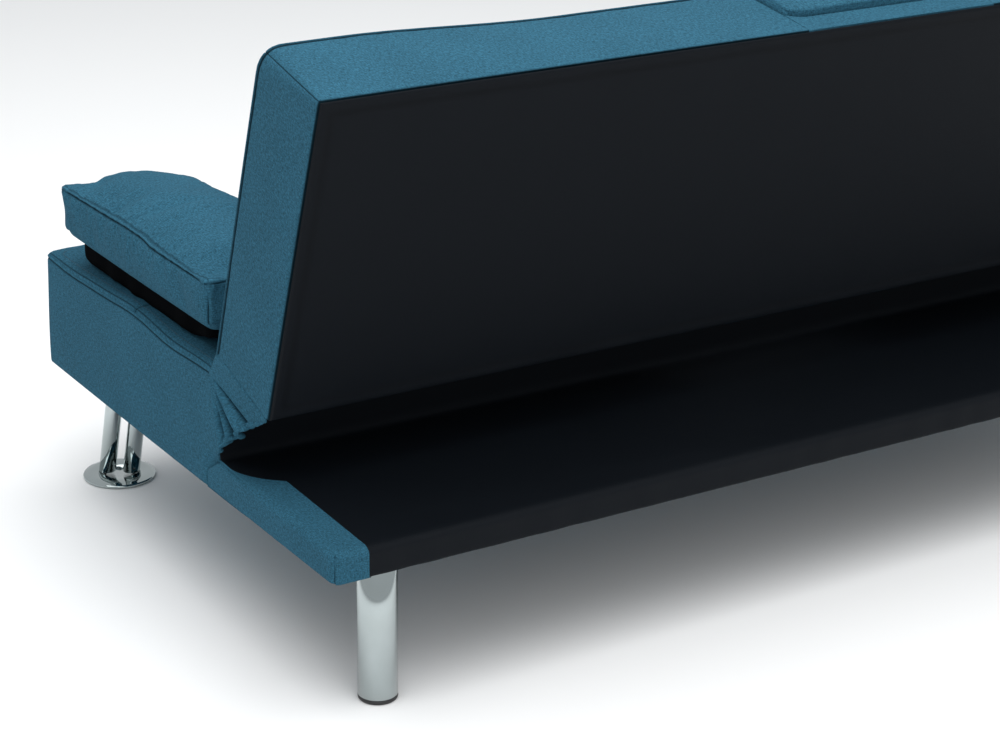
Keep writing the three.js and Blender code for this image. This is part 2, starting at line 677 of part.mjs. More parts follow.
function roundedPlate(halfWidth, halfHeight, corner, [y0, y1]) {
  const plate = new THREE.Shape();
  const [cx, cz] = [halfWidth - corner, halfHeight - corner];
  plate.absarc(cx, TRAY_CENTRE_Z + cz, corner, 0, Math.PI / 2, false);
  plate.absarc(-cx, TRAY_CENTRE_Z + cz, corner, Math.PI / 2, Math.PI, false);
  plate.absarc(-cx, TRAY_CENTRE_Z - cz, corner, Math.PI, 1.5 * Math.PI, false);
  plate.absarc(cx, TRAY_CENTRE_Z - cz, corner, 1.5 * Math.PI, 2 * Math.PI, false);
  return sweepAlongY(plate, [y0, y1]);
}

function cupDisc(side, radius, [y0, y1]) {
  const geometry = new THREE.CylinderGeometry(radius, radius, y1 - y0, ROUND_SEGMENTS);
  geometry.translate(side * CUP_CENTRE_X, (y0 + y1) / 2, TRAY_CENTRE_Z);
  return geometry;
}

function addConsole(parent) {
  const rear = CONSOLE_THICKNESS;
  const cupFloor = rear - CUP_DEPTH;
  const outerRadius = CUP_INNER_RADIUS + CUP_WALL;
  const sides = [-1, 1];
  const cups = sides.map((s) => cupDisc(s, outerRadius, [cupFloor - CUP_WALL, rear - 1]));
  const hollows = sides.map((s) => cupDisc(s, CUP_INNER_RADIUS, [cupFloor, rear + CUT_MARGIN]));
  const lip = roundedPlate(TRAY_HALF_WIDTH, TRAY_HALF_HEIGHT, TRAY_CORNER, [rear - TRAY_LIP, rear]);
  add(parent, 'cup_tray', cut(join(lip, ...cups), ...hollows), blackPlastic);

  const lipRoom = [rear - TRAY_LIP - GAP, rear + CUT_MARGIN];
  const lipPocket = roundedPlate(
    TRAY_HALF_WIDTH + GAP,
    TRAY_HALF_HEIGHT + GAP,
    TRAY_CORNER + GAP,
    lipRoom,
  );
  const pocketRadius = outerRadius + 2;
  const cupPocket = boxBetween(
    [-CUP_CENTRE_X - pocketRadius, CUP_CENTRE_X + pocketRadius],
    [cupFloor - CUP_WALL - 2, rear + CUT_MARGIN],
    [TRAY_CENTRE_Z - pocketRadius, TRAY_CENTRE_Z + pocketRadius],
  );
  const boreX = [-CONSOLE_HALF_WIDTH - CUT_MARGIN, CONSOLE_HALF_WIDTH + CUT_MARGIN];
  const bore = barAlongX(boreX, CONSOLE_PIVOT_Y, CONSOLE_PIVOT_Z, PIN_RADIUS + GAP);
  const core = consoleBlock(COVER_INSET, CONSOLE_HALF_WIDTH - COVER_INSET);
  add(parent, 'console_core', cut(core, cupPocket, bore), foam);

  const cover = consoleBlock(0, CONSOLE_HALF_WIDTH);
  const inside = consoleBlock(COVER_WALL, CONSOLE_HALF_WIDTH - COVER_WALL);
  add(parent, 'console_cover', cut(cover, inside, cupPocket, lipPocket, bore), blueFabric);

  const axleX = CONSOLE_STILE_INNER_X + CONSOLE_STILE_THICKNESS - 2;
  const axle = barAlongX([-axleX, axleX], CONSOLE_PIVOT_Y, CONSOLE_PIVOT_Z, PIN_RADIUS);
  add(parent, 'console_axle', axle, steel);
}

// ---------------------------------------------------------------- arm cushions

function addArmCushions(parent) {
  const c = ARM_SIDE_CHAMFER;
  const octagon = (low, high) => outline([
    [low + c, ARM_BOTTOM_Z],
    [high - c, ARM_BOTTOM_Z],
    [high, ARM_BOTTOM_Z + c],
    [high, ARM_TOP_Z - c],
    [high - c, ARM_TOP_Z],
    [low + c, ARM_TOP_Z],
    [low, ARM_TOP_Z - c],
    [low, ARM_BOTTOM_Z + c],
  ]);
  const depthwise = sweepAlongX(octagon(ARM_FRONT_Y, ARM_REAR_Y), [ARM_INNER_X, HALF_LENGTH]);
  const lengthwise = sweepAlongY(octagon(ARM_INNER_X, HALF_LENGTH), [ARM_FRONT_Y, ARM_REAR_Y]);
  addPair(parent, 'arm_cushion', common(depthwise, lengthwise), blueFabric);

  const pad = boxBetween(PAD_X, PAD_Y, [SEAT_TOP_Z + GAP, ARM_BOTTOM_Z - GAP]);
  addPair(parent, 'arm_grip_pad', pad, blackCloth);
}

// ---------------------------------------------------------------- assembly

const futon = new THREE.Group();
addBaseFrame(futon);
addSeat(futon);
addShelf(futon);
addFrontLegs(futon);
addRearLegs(futon);
addSeatHinges(futon);
addGussets(futon);
addArmCushions(futon);

const backrest = new THREE.Group();
backrest.position.set(0, PIVOT_Y, PIVOT_Z);
backrest.rotation.x = -RECLINE;
futon.add(backrest);
addBackArms(backrest);
addBackFrame(backrest);
addBackPadding(backrest);
addConsole(backrest);

export default futon;
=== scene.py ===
"""The looks of a futon sofa bed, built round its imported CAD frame. Metres, +Z up, +Y to the rear."""

import json
import math

import bpy
import numpy as np
from mathutils import Matrix, Vector
from mathutils.bvhtree import BVHTree


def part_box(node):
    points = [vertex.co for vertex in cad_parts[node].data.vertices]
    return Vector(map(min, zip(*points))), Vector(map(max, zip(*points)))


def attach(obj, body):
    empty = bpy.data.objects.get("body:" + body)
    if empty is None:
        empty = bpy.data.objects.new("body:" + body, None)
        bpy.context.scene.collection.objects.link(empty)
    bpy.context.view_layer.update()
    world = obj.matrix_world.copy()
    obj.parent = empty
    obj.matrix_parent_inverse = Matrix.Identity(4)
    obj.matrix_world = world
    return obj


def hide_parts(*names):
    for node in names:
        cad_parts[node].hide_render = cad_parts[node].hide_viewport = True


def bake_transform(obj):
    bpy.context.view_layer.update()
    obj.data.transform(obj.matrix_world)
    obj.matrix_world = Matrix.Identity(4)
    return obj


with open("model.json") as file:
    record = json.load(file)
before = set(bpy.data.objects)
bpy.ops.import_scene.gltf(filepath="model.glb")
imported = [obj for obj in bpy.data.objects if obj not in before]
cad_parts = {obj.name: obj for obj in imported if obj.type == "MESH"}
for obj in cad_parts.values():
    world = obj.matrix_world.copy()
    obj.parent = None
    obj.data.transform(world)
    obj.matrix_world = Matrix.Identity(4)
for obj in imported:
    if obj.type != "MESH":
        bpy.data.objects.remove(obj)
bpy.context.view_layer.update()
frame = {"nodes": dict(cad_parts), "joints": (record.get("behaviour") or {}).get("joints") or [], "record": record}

MM = 0.001
SIDES = {"right": 1, "left": -1}

# The planes of a block, in the order of the columns of its distances.
LOW_X, HIGH_X, LOW_Y, HIGH_Y, LOW_Z, HIGH_Z = range(6)
NORMALS = np.array([[-1, 0, 0], [1, 0, 0], [0, -1, 0], [0, 1, 0], [0, 0, -1], [0, 0, 1]], float)
EDGE_STEPS = np.array([0.9, 2.0, 3.4, 5.2, 7.4, 10.5, 15]) * MM
MARK_STEPS = np.array([0.9, 2.0, 3.6, 6.0]) * MM
NO_STEPS = np.array([])
SIMULATED_FRAMES = 20
EVENING_ROUNDS = 6


# ---- places taken from the frame

joints = {joint["name"]: joint for joint in frame["joints"]}
PIVOT = Vector(joints["back_recline"]["pos_m"])
CONSOLE_PIVOT = Vector(joints["console_fold"]["pos_m"])
RECLINE = math.radians(90 - joints["back_recline"]["range_deg"][1])
ACROSS = Vector((0, math.cos(RECLINE), -math.sin(RECLINE)))
ALONG = Vector((0, math.sin(RECLINE), math.cos(RECLINE)))
BACK_BASIS = np.array([[1, 0, 0], list(ACROSS), list(ALONG)])

seat_low, seat_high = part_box("seat_cover")
shelf_low, shelf_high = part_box("shelf_cloth")
wrap_low, wrap_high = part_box("shelf_end_cover_right")
arm_low, arm_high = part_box("arm_cushion_right")
pad_low, pad_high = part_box("arm_grip_pad_right")
HALF_LENGTH = seat_high.x


def from_back(points):
    """Points in the backrest's own frame (x, across it, up along it) as points in the row frame."""
    return points @ BACK_BASIS + np.array(PIVOT)


def to_back(point):
    return BACK_BASIS @ (np.array(point, float) - np.array(PIVOT))


def node_points(node):
    return np.array([v.co for v in frame["nodes"][node].data.vertices], float)


def back_box(node):
    """Lowest and highest corner of a CAD node in the backrest's own frame."""
    local = (node_points(node) - np.array(PIVOT)) @ BACK_BASIS.T
    return local.min(0), local.max(0)


# ---- camera, light and floor

CAMERA_PLACE = (2.0940, 2.7994, 1.4928)
CAMERA_YAW, CAMERA_PITCH, CAMERA_ROLL = 0.561, 0.371, 0.013
CAMERA_LENS, SENSOR_WIDTH = 90.95, 36
SKY_COLOUR, SKY_STRENGTH = (0.95, 0.98, 1, 1), 0.62


def add_camera():
    data = bpy.data.cameras.new("camera")
    data.lens = CAMERA_LENS
    data.sensor_width = SENSOR_WIDTH
    camera = bpy.data.objects.new("camera", data)
    level = math.cos(CAMERA_PITCH)
    forward = Vector((-math.sin(CAMERA_YAW) * level, -math.cos(CAMERA_YAW) * level, -math.sin(CAMERA_PITCH)))
    right = forward.cross(Vector((0, 0, 1))).normalized()
    up = right.cross(forward)
    cos, sin = math.cos(CAMERA_ROLL), math.sin(CAMERA_ROLL)
    turned = Matrix((cos * right + sin * up, cos * up - sin * right, -forward)).transposed()
    camera.matrix_world = Matrix.Translation(CAMERA_PLACE) @ turned.to_4x4()
    bpy.context.scene.collection.objects.link(camera)
    bpy.context.scene.camera = camera


def add_area_light(name, place, aim, size, power):
    data = bpy.data.lights.new(name, "AREA")
    data.shape = "RECTANGLE"
    data.size, data.size_y = size
    data.energy = power
    lamp = bpy.data.objects.new(name, data)
    lamp.location = place
    lamp.rotation_mode = "QUATERNION"
    lamp.rotation_quaternion = (Vector(aim) - Vector(place)).to_track_quat("-Z", "Y")
    bpy.context.scene.collection.objects.link(lamp)


def add_studio():
    scene = bpy.context.scene
    scene.view_settings.view_transform = "Standard"
    scene.world = bpy.data.worlds.new("studio")
    scene.world.use_nodes = True
    sky = scene.world.node_tree.nodes["Background"].inputs
    sky["Color"].default_value = SKY_COLOUR
    sky["Strength"].default_value = SKY_STRENGTH
    add_area_light("overhead", (0.5, 0.5, 3.4), (0.1, 0.1, 0), (4.2, 4.2), 150)
    add_area_light("rear_fill", (1.8, 3.6, 2.4), (0.2, 0.1, 0.4), (2.4, 1.8), 22)


# ---- materials


class Shader:
    """A new material's node tree, and short calls that add nodes to it."""

    def __init__(self, name):
        self.material = bpy.data.materials.new(name)
        self.material.use_nodes = True
        self.tree = self.material.node_tree
        self.surface = self.tree.nodes["Principled BSDF"]

    def node(self, kind, inputs=(), **settings):
        made = self.tree.nodes.new(kind)
        for key, value in settings.items():
            setattr(made, key, value)
        for socket, value in dict(inputs).items():
            self.feed(made.inputs[socket], value)
        return made

    def feed(self, socket, value):
        if isinstance(value, bpy.types.NodeSocket):
            self.tree.links.new(value, socket)
        else:
            socket.default_value = (*value, 1) if socket.type == "RGBA" else value

    def math(self, operation, *values):
        return self.node("ShaderNodeMath", enumerate(values), operation=operation).outputs[0]

    def mix(self, factor, a, b):
        made = self.node("ShaderNodeMix", data_type="RGBA")
        colours = [s for s in made.inputs if s.type == "RGBA"]
        self.feed(made.inputs["Factor"], factor)
        self.feed(colours[0], a)
        self.feed(colours[1], b)
        return next(s for s in made.outputs if s.type == "RGBA")

    def noise(self, vector, scale, detail=2.0, roughness=0.5):
        inputs = {"Vector": vector, "Scale": scale, "Detail": detail, "Roughness": roughness}
        return self.node("ShaderNodeTexNoise", inputs).outputs["Fac"]

    def scaled(self, vector, scale):
        return self.node("ShaderNodeMapping", {"Vector": vector, "Scale": scale}).outputs[0]

    def place(self, kind="Object"):
        return self.node("ShaderNodeTexCoord").outputs[kind]

    def attribute(self, name):
        return self.node("ShaderNodeAttribute", attribute_name=name).outputs["Fac"]

    def ramp(self, value, low, high):
        inputs = {"Value": value, "From Min": low, "From Max": high}
        return self.node("ShaderNodeMapRange", inputs).outputs[0]

    def bump(self, height, strength, distance, normal=None):
        inputs = {"Height": height, "Strength": strength, "Distance": distance}
        if normal is not None:
            inputs["Normal"] = normal
        return self.node("ShaderNodeBump", inputs).outputs[0]

    def set(self, values):
        for name, value in values.items():
            self.feed(self.surface.inputs[name], value)
        return self.material


def rgb(colour, scale):
    return tuple(c * scale for c in colour)


def woven(name, colour, pitch, contrast, grain, roughness, sheen, specular):
    """A plain weave that runs along the UV axes, which are in metres, with uneven, flecked yarns."""
    s = Shader(name)
    uv = s.place("UV")
    axes = s.node("ShaderNodeSeparateXYZ", {"Vector": uv})
    turns = 2 * math.pi / pitch
    warp = s.math("SINE", s.math("MULTIPLY", axes.outputs["X"], turns))
    weft = s.math("SINE", s.math("MULTIPLY", axes.outputs["Y"], turns))
    weave = s.math("MULTIPLY", warp, weft)
    fine, long = 0.9 / pitch, 0.20 / pitch
    warp_yarn = s.noise(s.scaled(uv, (fine, long, 1)), 1.0, 1.0)
    weft_yarn = s.noise(s.scaled(uv, (long, fine, 1)), 1.0, 1.0)
    flecks = s.noise(uv, grain / pitch, 1.0)
    yarns = s.math("MULTIPLY", s.math("ADD", s.math("ADD", warp_yarn, weft_yarn), flecks), 1 / 3)
    patches = s.noise(uv, 11.0, 3.0)
    tone = s.math("ADD", s.ramp(yarns, 0.36, 0.64), s.math("MULTIPLY", weave, 0.16))
    tone = s.math("ADD", tone, s.math("MULTIPLY", s.math("SUBTRACT", patches, 0.5), 0.35))
    shade = s.mix(tone, rgb(colour, 1 - contrast), rgb(colour, 1 + contrast))
    # A painted highlight lightens raised lips and ridges, and painted shade darkens seam grooves, gaps and folds.
    shade = s.mix(s.math("MULTIPLY", s.attribute("painted_highlight"), 0.16), shade, rgb(colour, 1.5))
    shade = s.mix(s.math("MULTIPLY", s.attribute("seam"), 0.93), shade, rgb(colour, 0.05))
    thread_height = s.math("ADD", s.math("MULTIPLY", weave, 0.5), yarns)
    normal = s.bump(thread_height, 0.45, pitch * 0.4)
    normal = s.bump(patches, 0.10, 0.004, normal)
    return s.set({
        "Base Color": shade, "Roughness": roughness, "Normal": normal,
        "Sheen Weight": sheen, "Sheen Roughness": 0.45, "Sheen Tint": rgb(colour, 2.2),
        "Specular IOR Level": specular,
    })


def polished_chrome():
    s = Shader("chrome")
    place = s.place()
    haze = s.noise(place, 14.0, 4.0)
    colour = s.mix(s.ramp(haze, 0.35, 0.65), (0.39, 0.435, 0.435), (0.44, 0.49, 0.495))
    fine = s.noise(s.scaled(place, (900, 900, 40)), 1.0, 2.0)
    return s.set({
        "Base Color": colour, "Metallic": 1.0, "Normal": s.bump(fine, 0.03, 0.0002),
        "Roughness": s.math("ADD", 0.035, s.math("MULTIPLY", haze, 0.05)),
    })


def zinc_steel():
    s = Shader("steel")
    place = s.place()
    streaks = s.noise(s.scaled(place, (30, 900, 30)), 1.0, 3.0)
    spangle = s.noise(place, 220.0, 2.0)
    colour = s.mix(spangle, (0.20, 0.21, 0.215), (0.36, 0.37, 0.38))
    return s.set({
        "Base Color": colour, "Metallic": 1.0, "Normal": s.bump(streaks, 0.08, 0.0004),
        "Roughness": s.math("ADD", 0.28, s.math("MULTIPLY", streaks, 0.22)),
    })


def sawn_timber():
    s = Shader("timber")
    place = s.place()
    warped = s.noise(place, 5.0, 2.0)
    grain = s.noise(s.scaled(place, (6, 120, 120)), 1.0, 5.0, 0.6)
    rings = s.math("SINE", s.math("MULTIPLY", s.math("ADD", grain, warped), 22.0))
    colour = s.mix(s.ramp(rings, -1, 1), (0.42, 0.26, 0.12), (0.60, 0.42, 0.23))
    return s.set({"Base Color": colour, "Roughness": 0.7, "Normal": s.bump(grain, 0.25, 0.0008)})


def open_foam():
    s = Shader("foam")
    place = s.place()
    cells = s.node("ShaderNodeTexVoronoi", {"Vector": place, "Scale": 700.0}).outputs["Distance"]
    tone = s.noise(place, 8.0, 3.0)
    colour = s.mix(tone, (0.70, 0.62, 0.42), (0.83, 0.78, 0.62))
    return s.set({"Base Color": colour, "Roughness": 0.95, "Normal": s.bump(cells, 0.5, 0.0012)})


def moulded_plastic():
    s = Shader("black_plastic")
    place = s.place()
    grain = s.noise(place, 2600.0, 2.0)
    scuff = s.noise(place, 45.0, 4.0)
    colour = s.mix(scuff, (0.010, 0.010, 0.011), (0.022, 0.022, 0.024))
    return s.set({
        "Base Color": colour, "Normal": s.bump(grain, 0.15, 0.0002),
        "Roughness": s.math("ADD", 0.38, s.math("MULTIPLY", scuff, 0.2)),
    })


def sewing_thread():
    s = Shader("thread")
    place = s.place()
    twist = s.noise(place, 1800.0, 2.0)
    # Navy thread, darker than the cover: the extra darkness also paints the shade where the stitches sink into the
    # cloth.
    colour = s.mix(twist, (0.010, 0.035, 0.055), (0.022, 0.070, 0.105))
    return s.set({"Base Color": colour, "Roughness": 0.6, "Normal": s.bump(twist, 0.3, 0.0003)})


def pale_floor():
    s = Shader("floor")
    place = s.place()
    tone = s.noise(place, 0.6, 2.0)
    colour = s.mix(tone, (0.88, 0.88, 0.88), (0.90, 0.90, 0.90))
    return s.set({"Base Color": colour, "Roughness": 0.85})


LOOKS = {
    "blue_fabric": woven("blue_fabric", (0.0255, 0.0940, 0.1435), 1.3 * MM, 0.47, 0.62, 0.9, 0.04, 0.05),
    "black_cloth": woven("black_cloth", (0.0036, 0.0052, 0.0076), 0.9 * MM, 0.16, 0.4, 0.55, 0.0, 0.09),
    # The grip pad's black cloth, darker than the black cloth so that it also paints the deep shadow under the
    # cushion.
    "black_pad_with_shadow": woven("black_pad_with_shadow", (0.0012, 0.0015, 0.0020), 1.1 * MM, 0.30, 0.5, 0.95, 0.0, 0.02),
    "chrome": polished_chrome(),
    "steel": zinc_steel(),
    "timber": sawn_timber(),
    "foam": open_foam(),
    "black_plastic": moulded_plastic(),
    "thread": sewing_thread(),
}


# ---- mesh helpers


def waves(points, wavelength, seed, count=7):
    """Smooth irregular waves from about -1 to 1 at each point, of about the given wavelength."""
    rng = np.random.default_rng(seed)
    total = np.zeros(len(points))
    for _ in range(count):
        direction = rng.normal(size=points.shape[1])
        direction /= np.linalg.norm(direction)
        size = wavelength * rng.uniform(0.7, 1.5)
        total += np.sin(points @ direction * 2 * np.pi / size + rng.uniform(0, 2 * np.pi))
    return total / math.sqrt(count)


def rise(t, power):
    """0 at both ends of 0..1 and 1 in the middle: the crown of a stuffed panel."""
    return np.clip(4 * t * (1 - t), 0, 1) ** power


def ease(value, low, high):
    """0 below low, 1 above high, and a smooth step between."""
    t = np.clip((value - low) / (high - low), 0, 1)
    return t * t * (3 - 2 * t)


def dip(away, reach):
    """1 on a seam, falling to 0 at its reach, with a rounded shoulder."""
    u = np.clip(away / reach, 0, 1)
    return 1 - np.sqrt(1 - (1 - u) ** 2)


def line(away, width):
    return np.exp(-((away / width) ** 2))


def run_lengths(path):
    """How far along a path each of its points lies."""
    return np.concatenate([[0], np.cumsum(np.linalg.norm(np.diff(path, axis=0), axis=1))])


def spread_lines(low, high, step, marks=(), steps=EDGE_STEPS):
    """Grid places from low to high, at most a step apart, and close together at the ends and the marks."""
    places = {low, high, *marks, *(low + steps), *(high - steps)}
    for mark in marks:
        places.update([*(mark + MARK_STEPS), *(mark - MARK_STEPS)])
    places = sorted(p for p in places if low <= p <= high)
    spaced = [places[0]]
    for place in places[1:]:
        if place - spaced[-1] > 0.5 * MM:
            spaced.append(place)
    spaced[-1] = high
    full = [spaced[0]]
    for place in spaced[1:]:
        parts = max(1, math.ceil((place - full[-1]) / step - 1e-6))
        full += list(np.linspace(full[-1], place, parts + 1)[1:])
    return np.array(full)


class Block:
    """The closed surface of a box as a grid: places, faces, UVs and distances to its six planes.

    It is made from (low, high, step) or (low, high, step, marks) for each axis, and shaped by its methods.
    Steps, radii, heights, depths, reaches and spacings are given in mm, and all else is in metres.
    """

    def __init__(self, *axes):
        xs, ys, zs = (spread_lines(low, high, step * MM, *marks) for low, high, step, *marks in axes)
        counts = len(xs), len(ys), len(zs)
        shell = np.zeros(counts, bool)
        shell[[0, -1], :, :] = shell[:, [0, -1], :] = shell[:, :, [0, -1]] = True
        index = np.full(counts, -1)
        index[shell] = np.arange(shell.sum())
        i, j, k = np.nonzero(shell)
        self.p = np.stack([xs[i], ys[j], zs[k]], axis=1)
        self.low, self.high = self.p.min(0), self.p.max(0)
        self.size = self.high - self.low
        self.rest = self.p.copy()
        self.dist = np.empty((len(self.p), 6))
        self.dist[:, 0::2] = self.p - self.low
        self.dist[:, 1::2] = self.high - self.p
        self.on = self.dist < 1e-9
        # Per point: painted shade for seam grooves, gaps and folds, and a painted highlight for raised lips and
        # ridges.
        self.seam = np.zeros(len(self.p))
        self.painted_highlight = np.zeros(len(self.p))
        self.faces, self.uvs = [], []
        for axis, plane, flip in [(0, 0, 1), (0, -1, 0), (1, 0, 0), (1, -1, 1), (2, 0, 1), (2, -1, 0)]:
            grid = np.take(index, plane, axis=axis)
            quads = np.stack([grid[:-1, :-1], grid[1:, :-1], grid[1:, 1:], grid[:-1, 1:]], axis=-1)
            quads = quads.reshape(-1, 4)
            if flip:
                quads = quads[:, ::-1]
            others = [a for a in range(3) if a != axis]
            self.faces.append(quads)
            self.uvs.append(self.p[quads][:, :, others])
        self.faces = np.concatenate(self.faces)
        self.uvs = np.concatenate(self.uvs)

    def share(self, axis):
        return (self.rest[:, axis] - self.low[axis]) / self.size[axis]

    def normals(self):
        corners = self.p[self.faces]
        face = np.cross(corners[:, 2] - corners[:, 0], corners[:, 3] - corners[:, 1])
        total = np.zeros_like(self.p)
        for corner in range(4):
            np.add.at(total, self.faces[:, corner], face)
        return total / np.maximum(np.linalg.norm(total, axis=1, keepdims=True), 1e-15)

    def swell(self, amount, here=True):
        """Moves points outwards along the surface's own normals."""
        self.p += np.where(here, amount, 0)[:, None] * self.normals()

    def to_edge(self, side):
        """Distance of each point from the edges of a side, measured on that side."""
        return np.min(np.delete(self.dist, [side, side ^ 1], axis=1), axis=1)

    def round_edges(self, *edges):
        """Rounds the edges between two sides, each given as (first side, second side, radius)."""
        for first, second, radius in edges:
            u = np.clip(radius * MM - self.dist[:, first], 0, None)
            v = np.clip(radius * MM - self.dist[:, second], 0, None)
            scale = np.maximum(u, v) / np.maximum(np.hypot(u, v), 1e-12) - 1
            scale = np.where((u > 0) & (v > 0), scale, 0)[:, None]
            self.p += scale * (u[:, None] * NORMALS[first] + v[:, None] * NORMALS[second])

    def crown(self, height, power, *sides):
        for side in sides:
            across, along = (rise(self.share(a), power) for a in range(3) if a != side // 2)
            amount = height * MM * across * along
            self.p += np.where(self.on[:, side], amount, 0)[:, None] * NORMALS[side]

    def mark(self, away, width, strength, here=True):
        """Paints shade along a line, for seam grooves, gaps and folds; away and width are in metres."""
        self.seam = np.maximum(self.seam, np.where(here, line(away, width) * strength, 0))

    def welt(self, side, below, depth, reach, lip, width=1.2):
        """A panel's seam: it runs round the block a little below the panel, whose edge is a proud lip. Shade is
        painted along the seam, and a highlight on the lip.
        """
        below *= MM
        away = np.abs(self.dist[:, side] - below)
        above = self.dist[:, side] - below * 0.4
        here = ~self.on[:, side]
        self.swell(lip * MM * line(above, below * 0.45) - depth * MM * dip(away, reach * MM), here)
        self.mark(away, width * MM, 1.0, here)
        # A painted highlight along the proud lip.
        self.painted_highlight = np.maximum(self.painted_highlight, np.where(here, line(above, 2 * MM), 0))

    def crease(self, side, inset, depth, reach, strength):
        """The line that a row of topstitching presses into a side, at an inset from its edges, with shade painted
        along it.
        """
        away = np.abs(self.to_edge(side) - inset * MM)
        self.swell(-depth * MM * dip(away, reach * MM), self.on[:, side])
        self.mark(away, 0.9 * MM, strength, self.on[:, side])

    def edge_seam(self, first, second, depth, reach):
        # A groove down the seam where two sides meet, with shade painted along it.
        away = np.maximum(self.dist[:, first], self.dist[:, second])
        self.swell(-depth * MM * dip(away, reach * MM))
        self.mark(away, 1.0 * MM, 0.9)

    def channel(self, side, axis, place, depth, reach):
        """A seam that runs across a side, at one place along an axis, with shade painted along it."""
        away = np.abs(self.rest[:, axis] - place)
        self.swell(-depth * MM * dip(away, reach * MM), self.on[:, side])
        self.mark(away, 1.2 * MM, 1.0, self.on[:, side])

    def pleats(self, side, edge, spacing, length, depth, seed, start=0.0, end=1.0):
        """Short puckers on a side, each its own size and slant, running in from the seam at one edge."""
        rng = np.random.default_rng(seed)
        spacing *= MM
        axis = next(a for a in range(3) if a not in (side // 2, edge // 2))
        here = self.on[:, side]
        along, away = self.rest[here, axis], self.dist[here, edge]
        total = np.zeros(len(along))
        first, last = (self.low[axis] + self.size[axis] * s for s in (start, end))
        for place in np.arange(first, last, spacing):
            place += rng.normal() * spacing * 0.35
            own_length = length * MM * rng.uniform(0.45, 1.35)
            own_depth = depth * MM * rng.uniform(0.3, 1.2)
            slant = rng.normal() * 0.22
            width = spacing * rng.uniform(0.22, 0.42)
            offset = (along - place - slant * away) / (width * (1 + away / own_length))
            fade = np.clip(1 - away / own_length, 0, 1) ** 1.4 * ease(away, 0, 11 * MM)
            total -= own_depth * fade * (line(offset, 1) - 0.45 * line(np.abs(offset) - 1.9, 1))
        amount = np.zeros(len(self.p))
        amount[here] = total
        self.swell(amount)

    def soften(self, sides, wavelength, height, seed, border=0.05):
        """Slow unevenness of a stuffed side, dying out towards its edges."""
        amount = waves(self.rest, wavelength, seed) * height
        for side in sides:
            inside = ease(self.to_edge(side), 0, border)
            self.swell(amount * inside, self.on[:, side])


def evened(values, faces, held, rounds):
    """Averages each vertex's value with its neighbours', a few times over; held vertices stay at nothing."""
    counts = np.bincount(faces.ravel(), minlength=len(values))[:, None]
    for _ in range(rounds):
        spread = np.zeros_like(values)
        face_means = values[faces].mean(axis=1)
        np.add.at(spread, faces.ravel(), np.repeat(face_means, faces.shape[1], axis=0))
        values = np.where(held[:, None], 0, spread / counts)
    return values


def inflate(block, held, pressure, growth, cap):
    """Blows a block's cover up as cloth from the inside, held along its seams."""
    mesh = bpy.data.meshes.new("inflated")
    mesh.from_pydata(block.p.tolist(), [], block.faces.tolist())
    cover = bpy.data.objects.new("inflated", mesh)
    scene = bpy.context.scene
    scene.collection.objects.link(cover)
    pins = cover.vertex_groups.new(name="held")
    pins.add(np.nonzero(held)[0].tolist(), 1.0, "REPLACE")
    cloth = cover.modifiers.new("cloth", "CLOTH")
    settings = cloth.settings
    settings.quality = 5
    settings.mass = 0.15
    settings.tension_stiffness = settings.compression_stiffness = 8
    settings.shear_stiffness = 4
    settings.bending_stiffness = 0.4
    settings.use_pressure = True
    settings.uniform_pressure_force = pressure
    settings.shrink_min = -growth
    settings.vertex_group_mass = "held"
    settings.effector_weights.gravity = 0
    cloth.point_cache.frame_start = 1
    cloth.point_cache.frame_end = SIMULATED_FRAMES
    for frame_number in range(1, SIMULATED_FRAMES + 1):
        scene.frame_set(frame_number)
    evaluated = cover.evaluated_get(bpy.context.evaluated_depsgraph_get())
    moved = np.array([v.co for v in evaluated.data.vertices], float) - block.p
    moved = evened(moved, block.faces, held, EVENING_ROUNDS)
    length = np.linalg.norm(moved, axis=1, keepdims=True)
    block.p += moved * np.minimum(1, cap / np.maximum(length, 1e-9))
    scene.frame_set(1)
    bpy.data.objects.remove(cover)
    bpy.data.meshes.remove(mesh)


def new_object(name, points, faces, uvs=None, look="blue_fabric", marks=None, body=None):
    mesh = bpy.data.meshes.new(name)
    mesh.from_pydata(points.tolist(), [], [list(map(int, f)) for f in faces])
    mesh.validate()
    if uvs is not None:
        layer = mesh.uv_layers.new(name="UVMap")
        layer.data.foreach_set("uv", np.asarray(uvs, np.float32).reshape(-1))
    for label, values in (marks or {}).items():
        attribute = mesh.attributes.new(label, "FLOAT", "POINT")
        attribute.data.foreach_set("value", np.asarray(values, np.float32))
    mesh.polygons.foreach_set("use_smooth", [True] * len(mesh.polygons))
    mesh.materials.append(LOOKS[look])
    made = bpy.data.objects.new(name, mesh)
    bpy.context.scene.collection.objects.link(made)
    if body:
        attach(made, body)
    return made


def padded_piece(name, block, body, nodes, look="blue_fabric", mirror=False):
    points, faces, uvs = block.p.copy(), block.faces, block.uvs
    if mirror:
        points[:, 0] *= -1
        faces, uvs = faces[:, ::-1], uvs[:, ::-1]
    # The painted shade and painted highlight go with the mesh as point attributes.
    marks = {"seam": block.seam, "painted_highlight": block.painted_highlight}
    piece = new_object(name, points, faces, uvs, look, marks, body)
    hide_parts(*nodes)
    return piece


def ring_faces(rings, segments, first=0, closed=False):
    """Quads between each ring of points and the next."""
    faces = []
    for r in range(rings if closed else rings - 1):
        near, far = first + r * segments, first + (r + 1) % rings * segments
        for a in range(segments):
            b = (a + 1) % segments
            faces.append((near + a, near + b, far + b, far + a))
    return faces


def ring_points(segments):
    """A circle of radius 1 as its cosines and sines."""
    angles = np.arange(segments) * 2 * np.pi / segments
    return np.cos(angles), np.sin(angles)


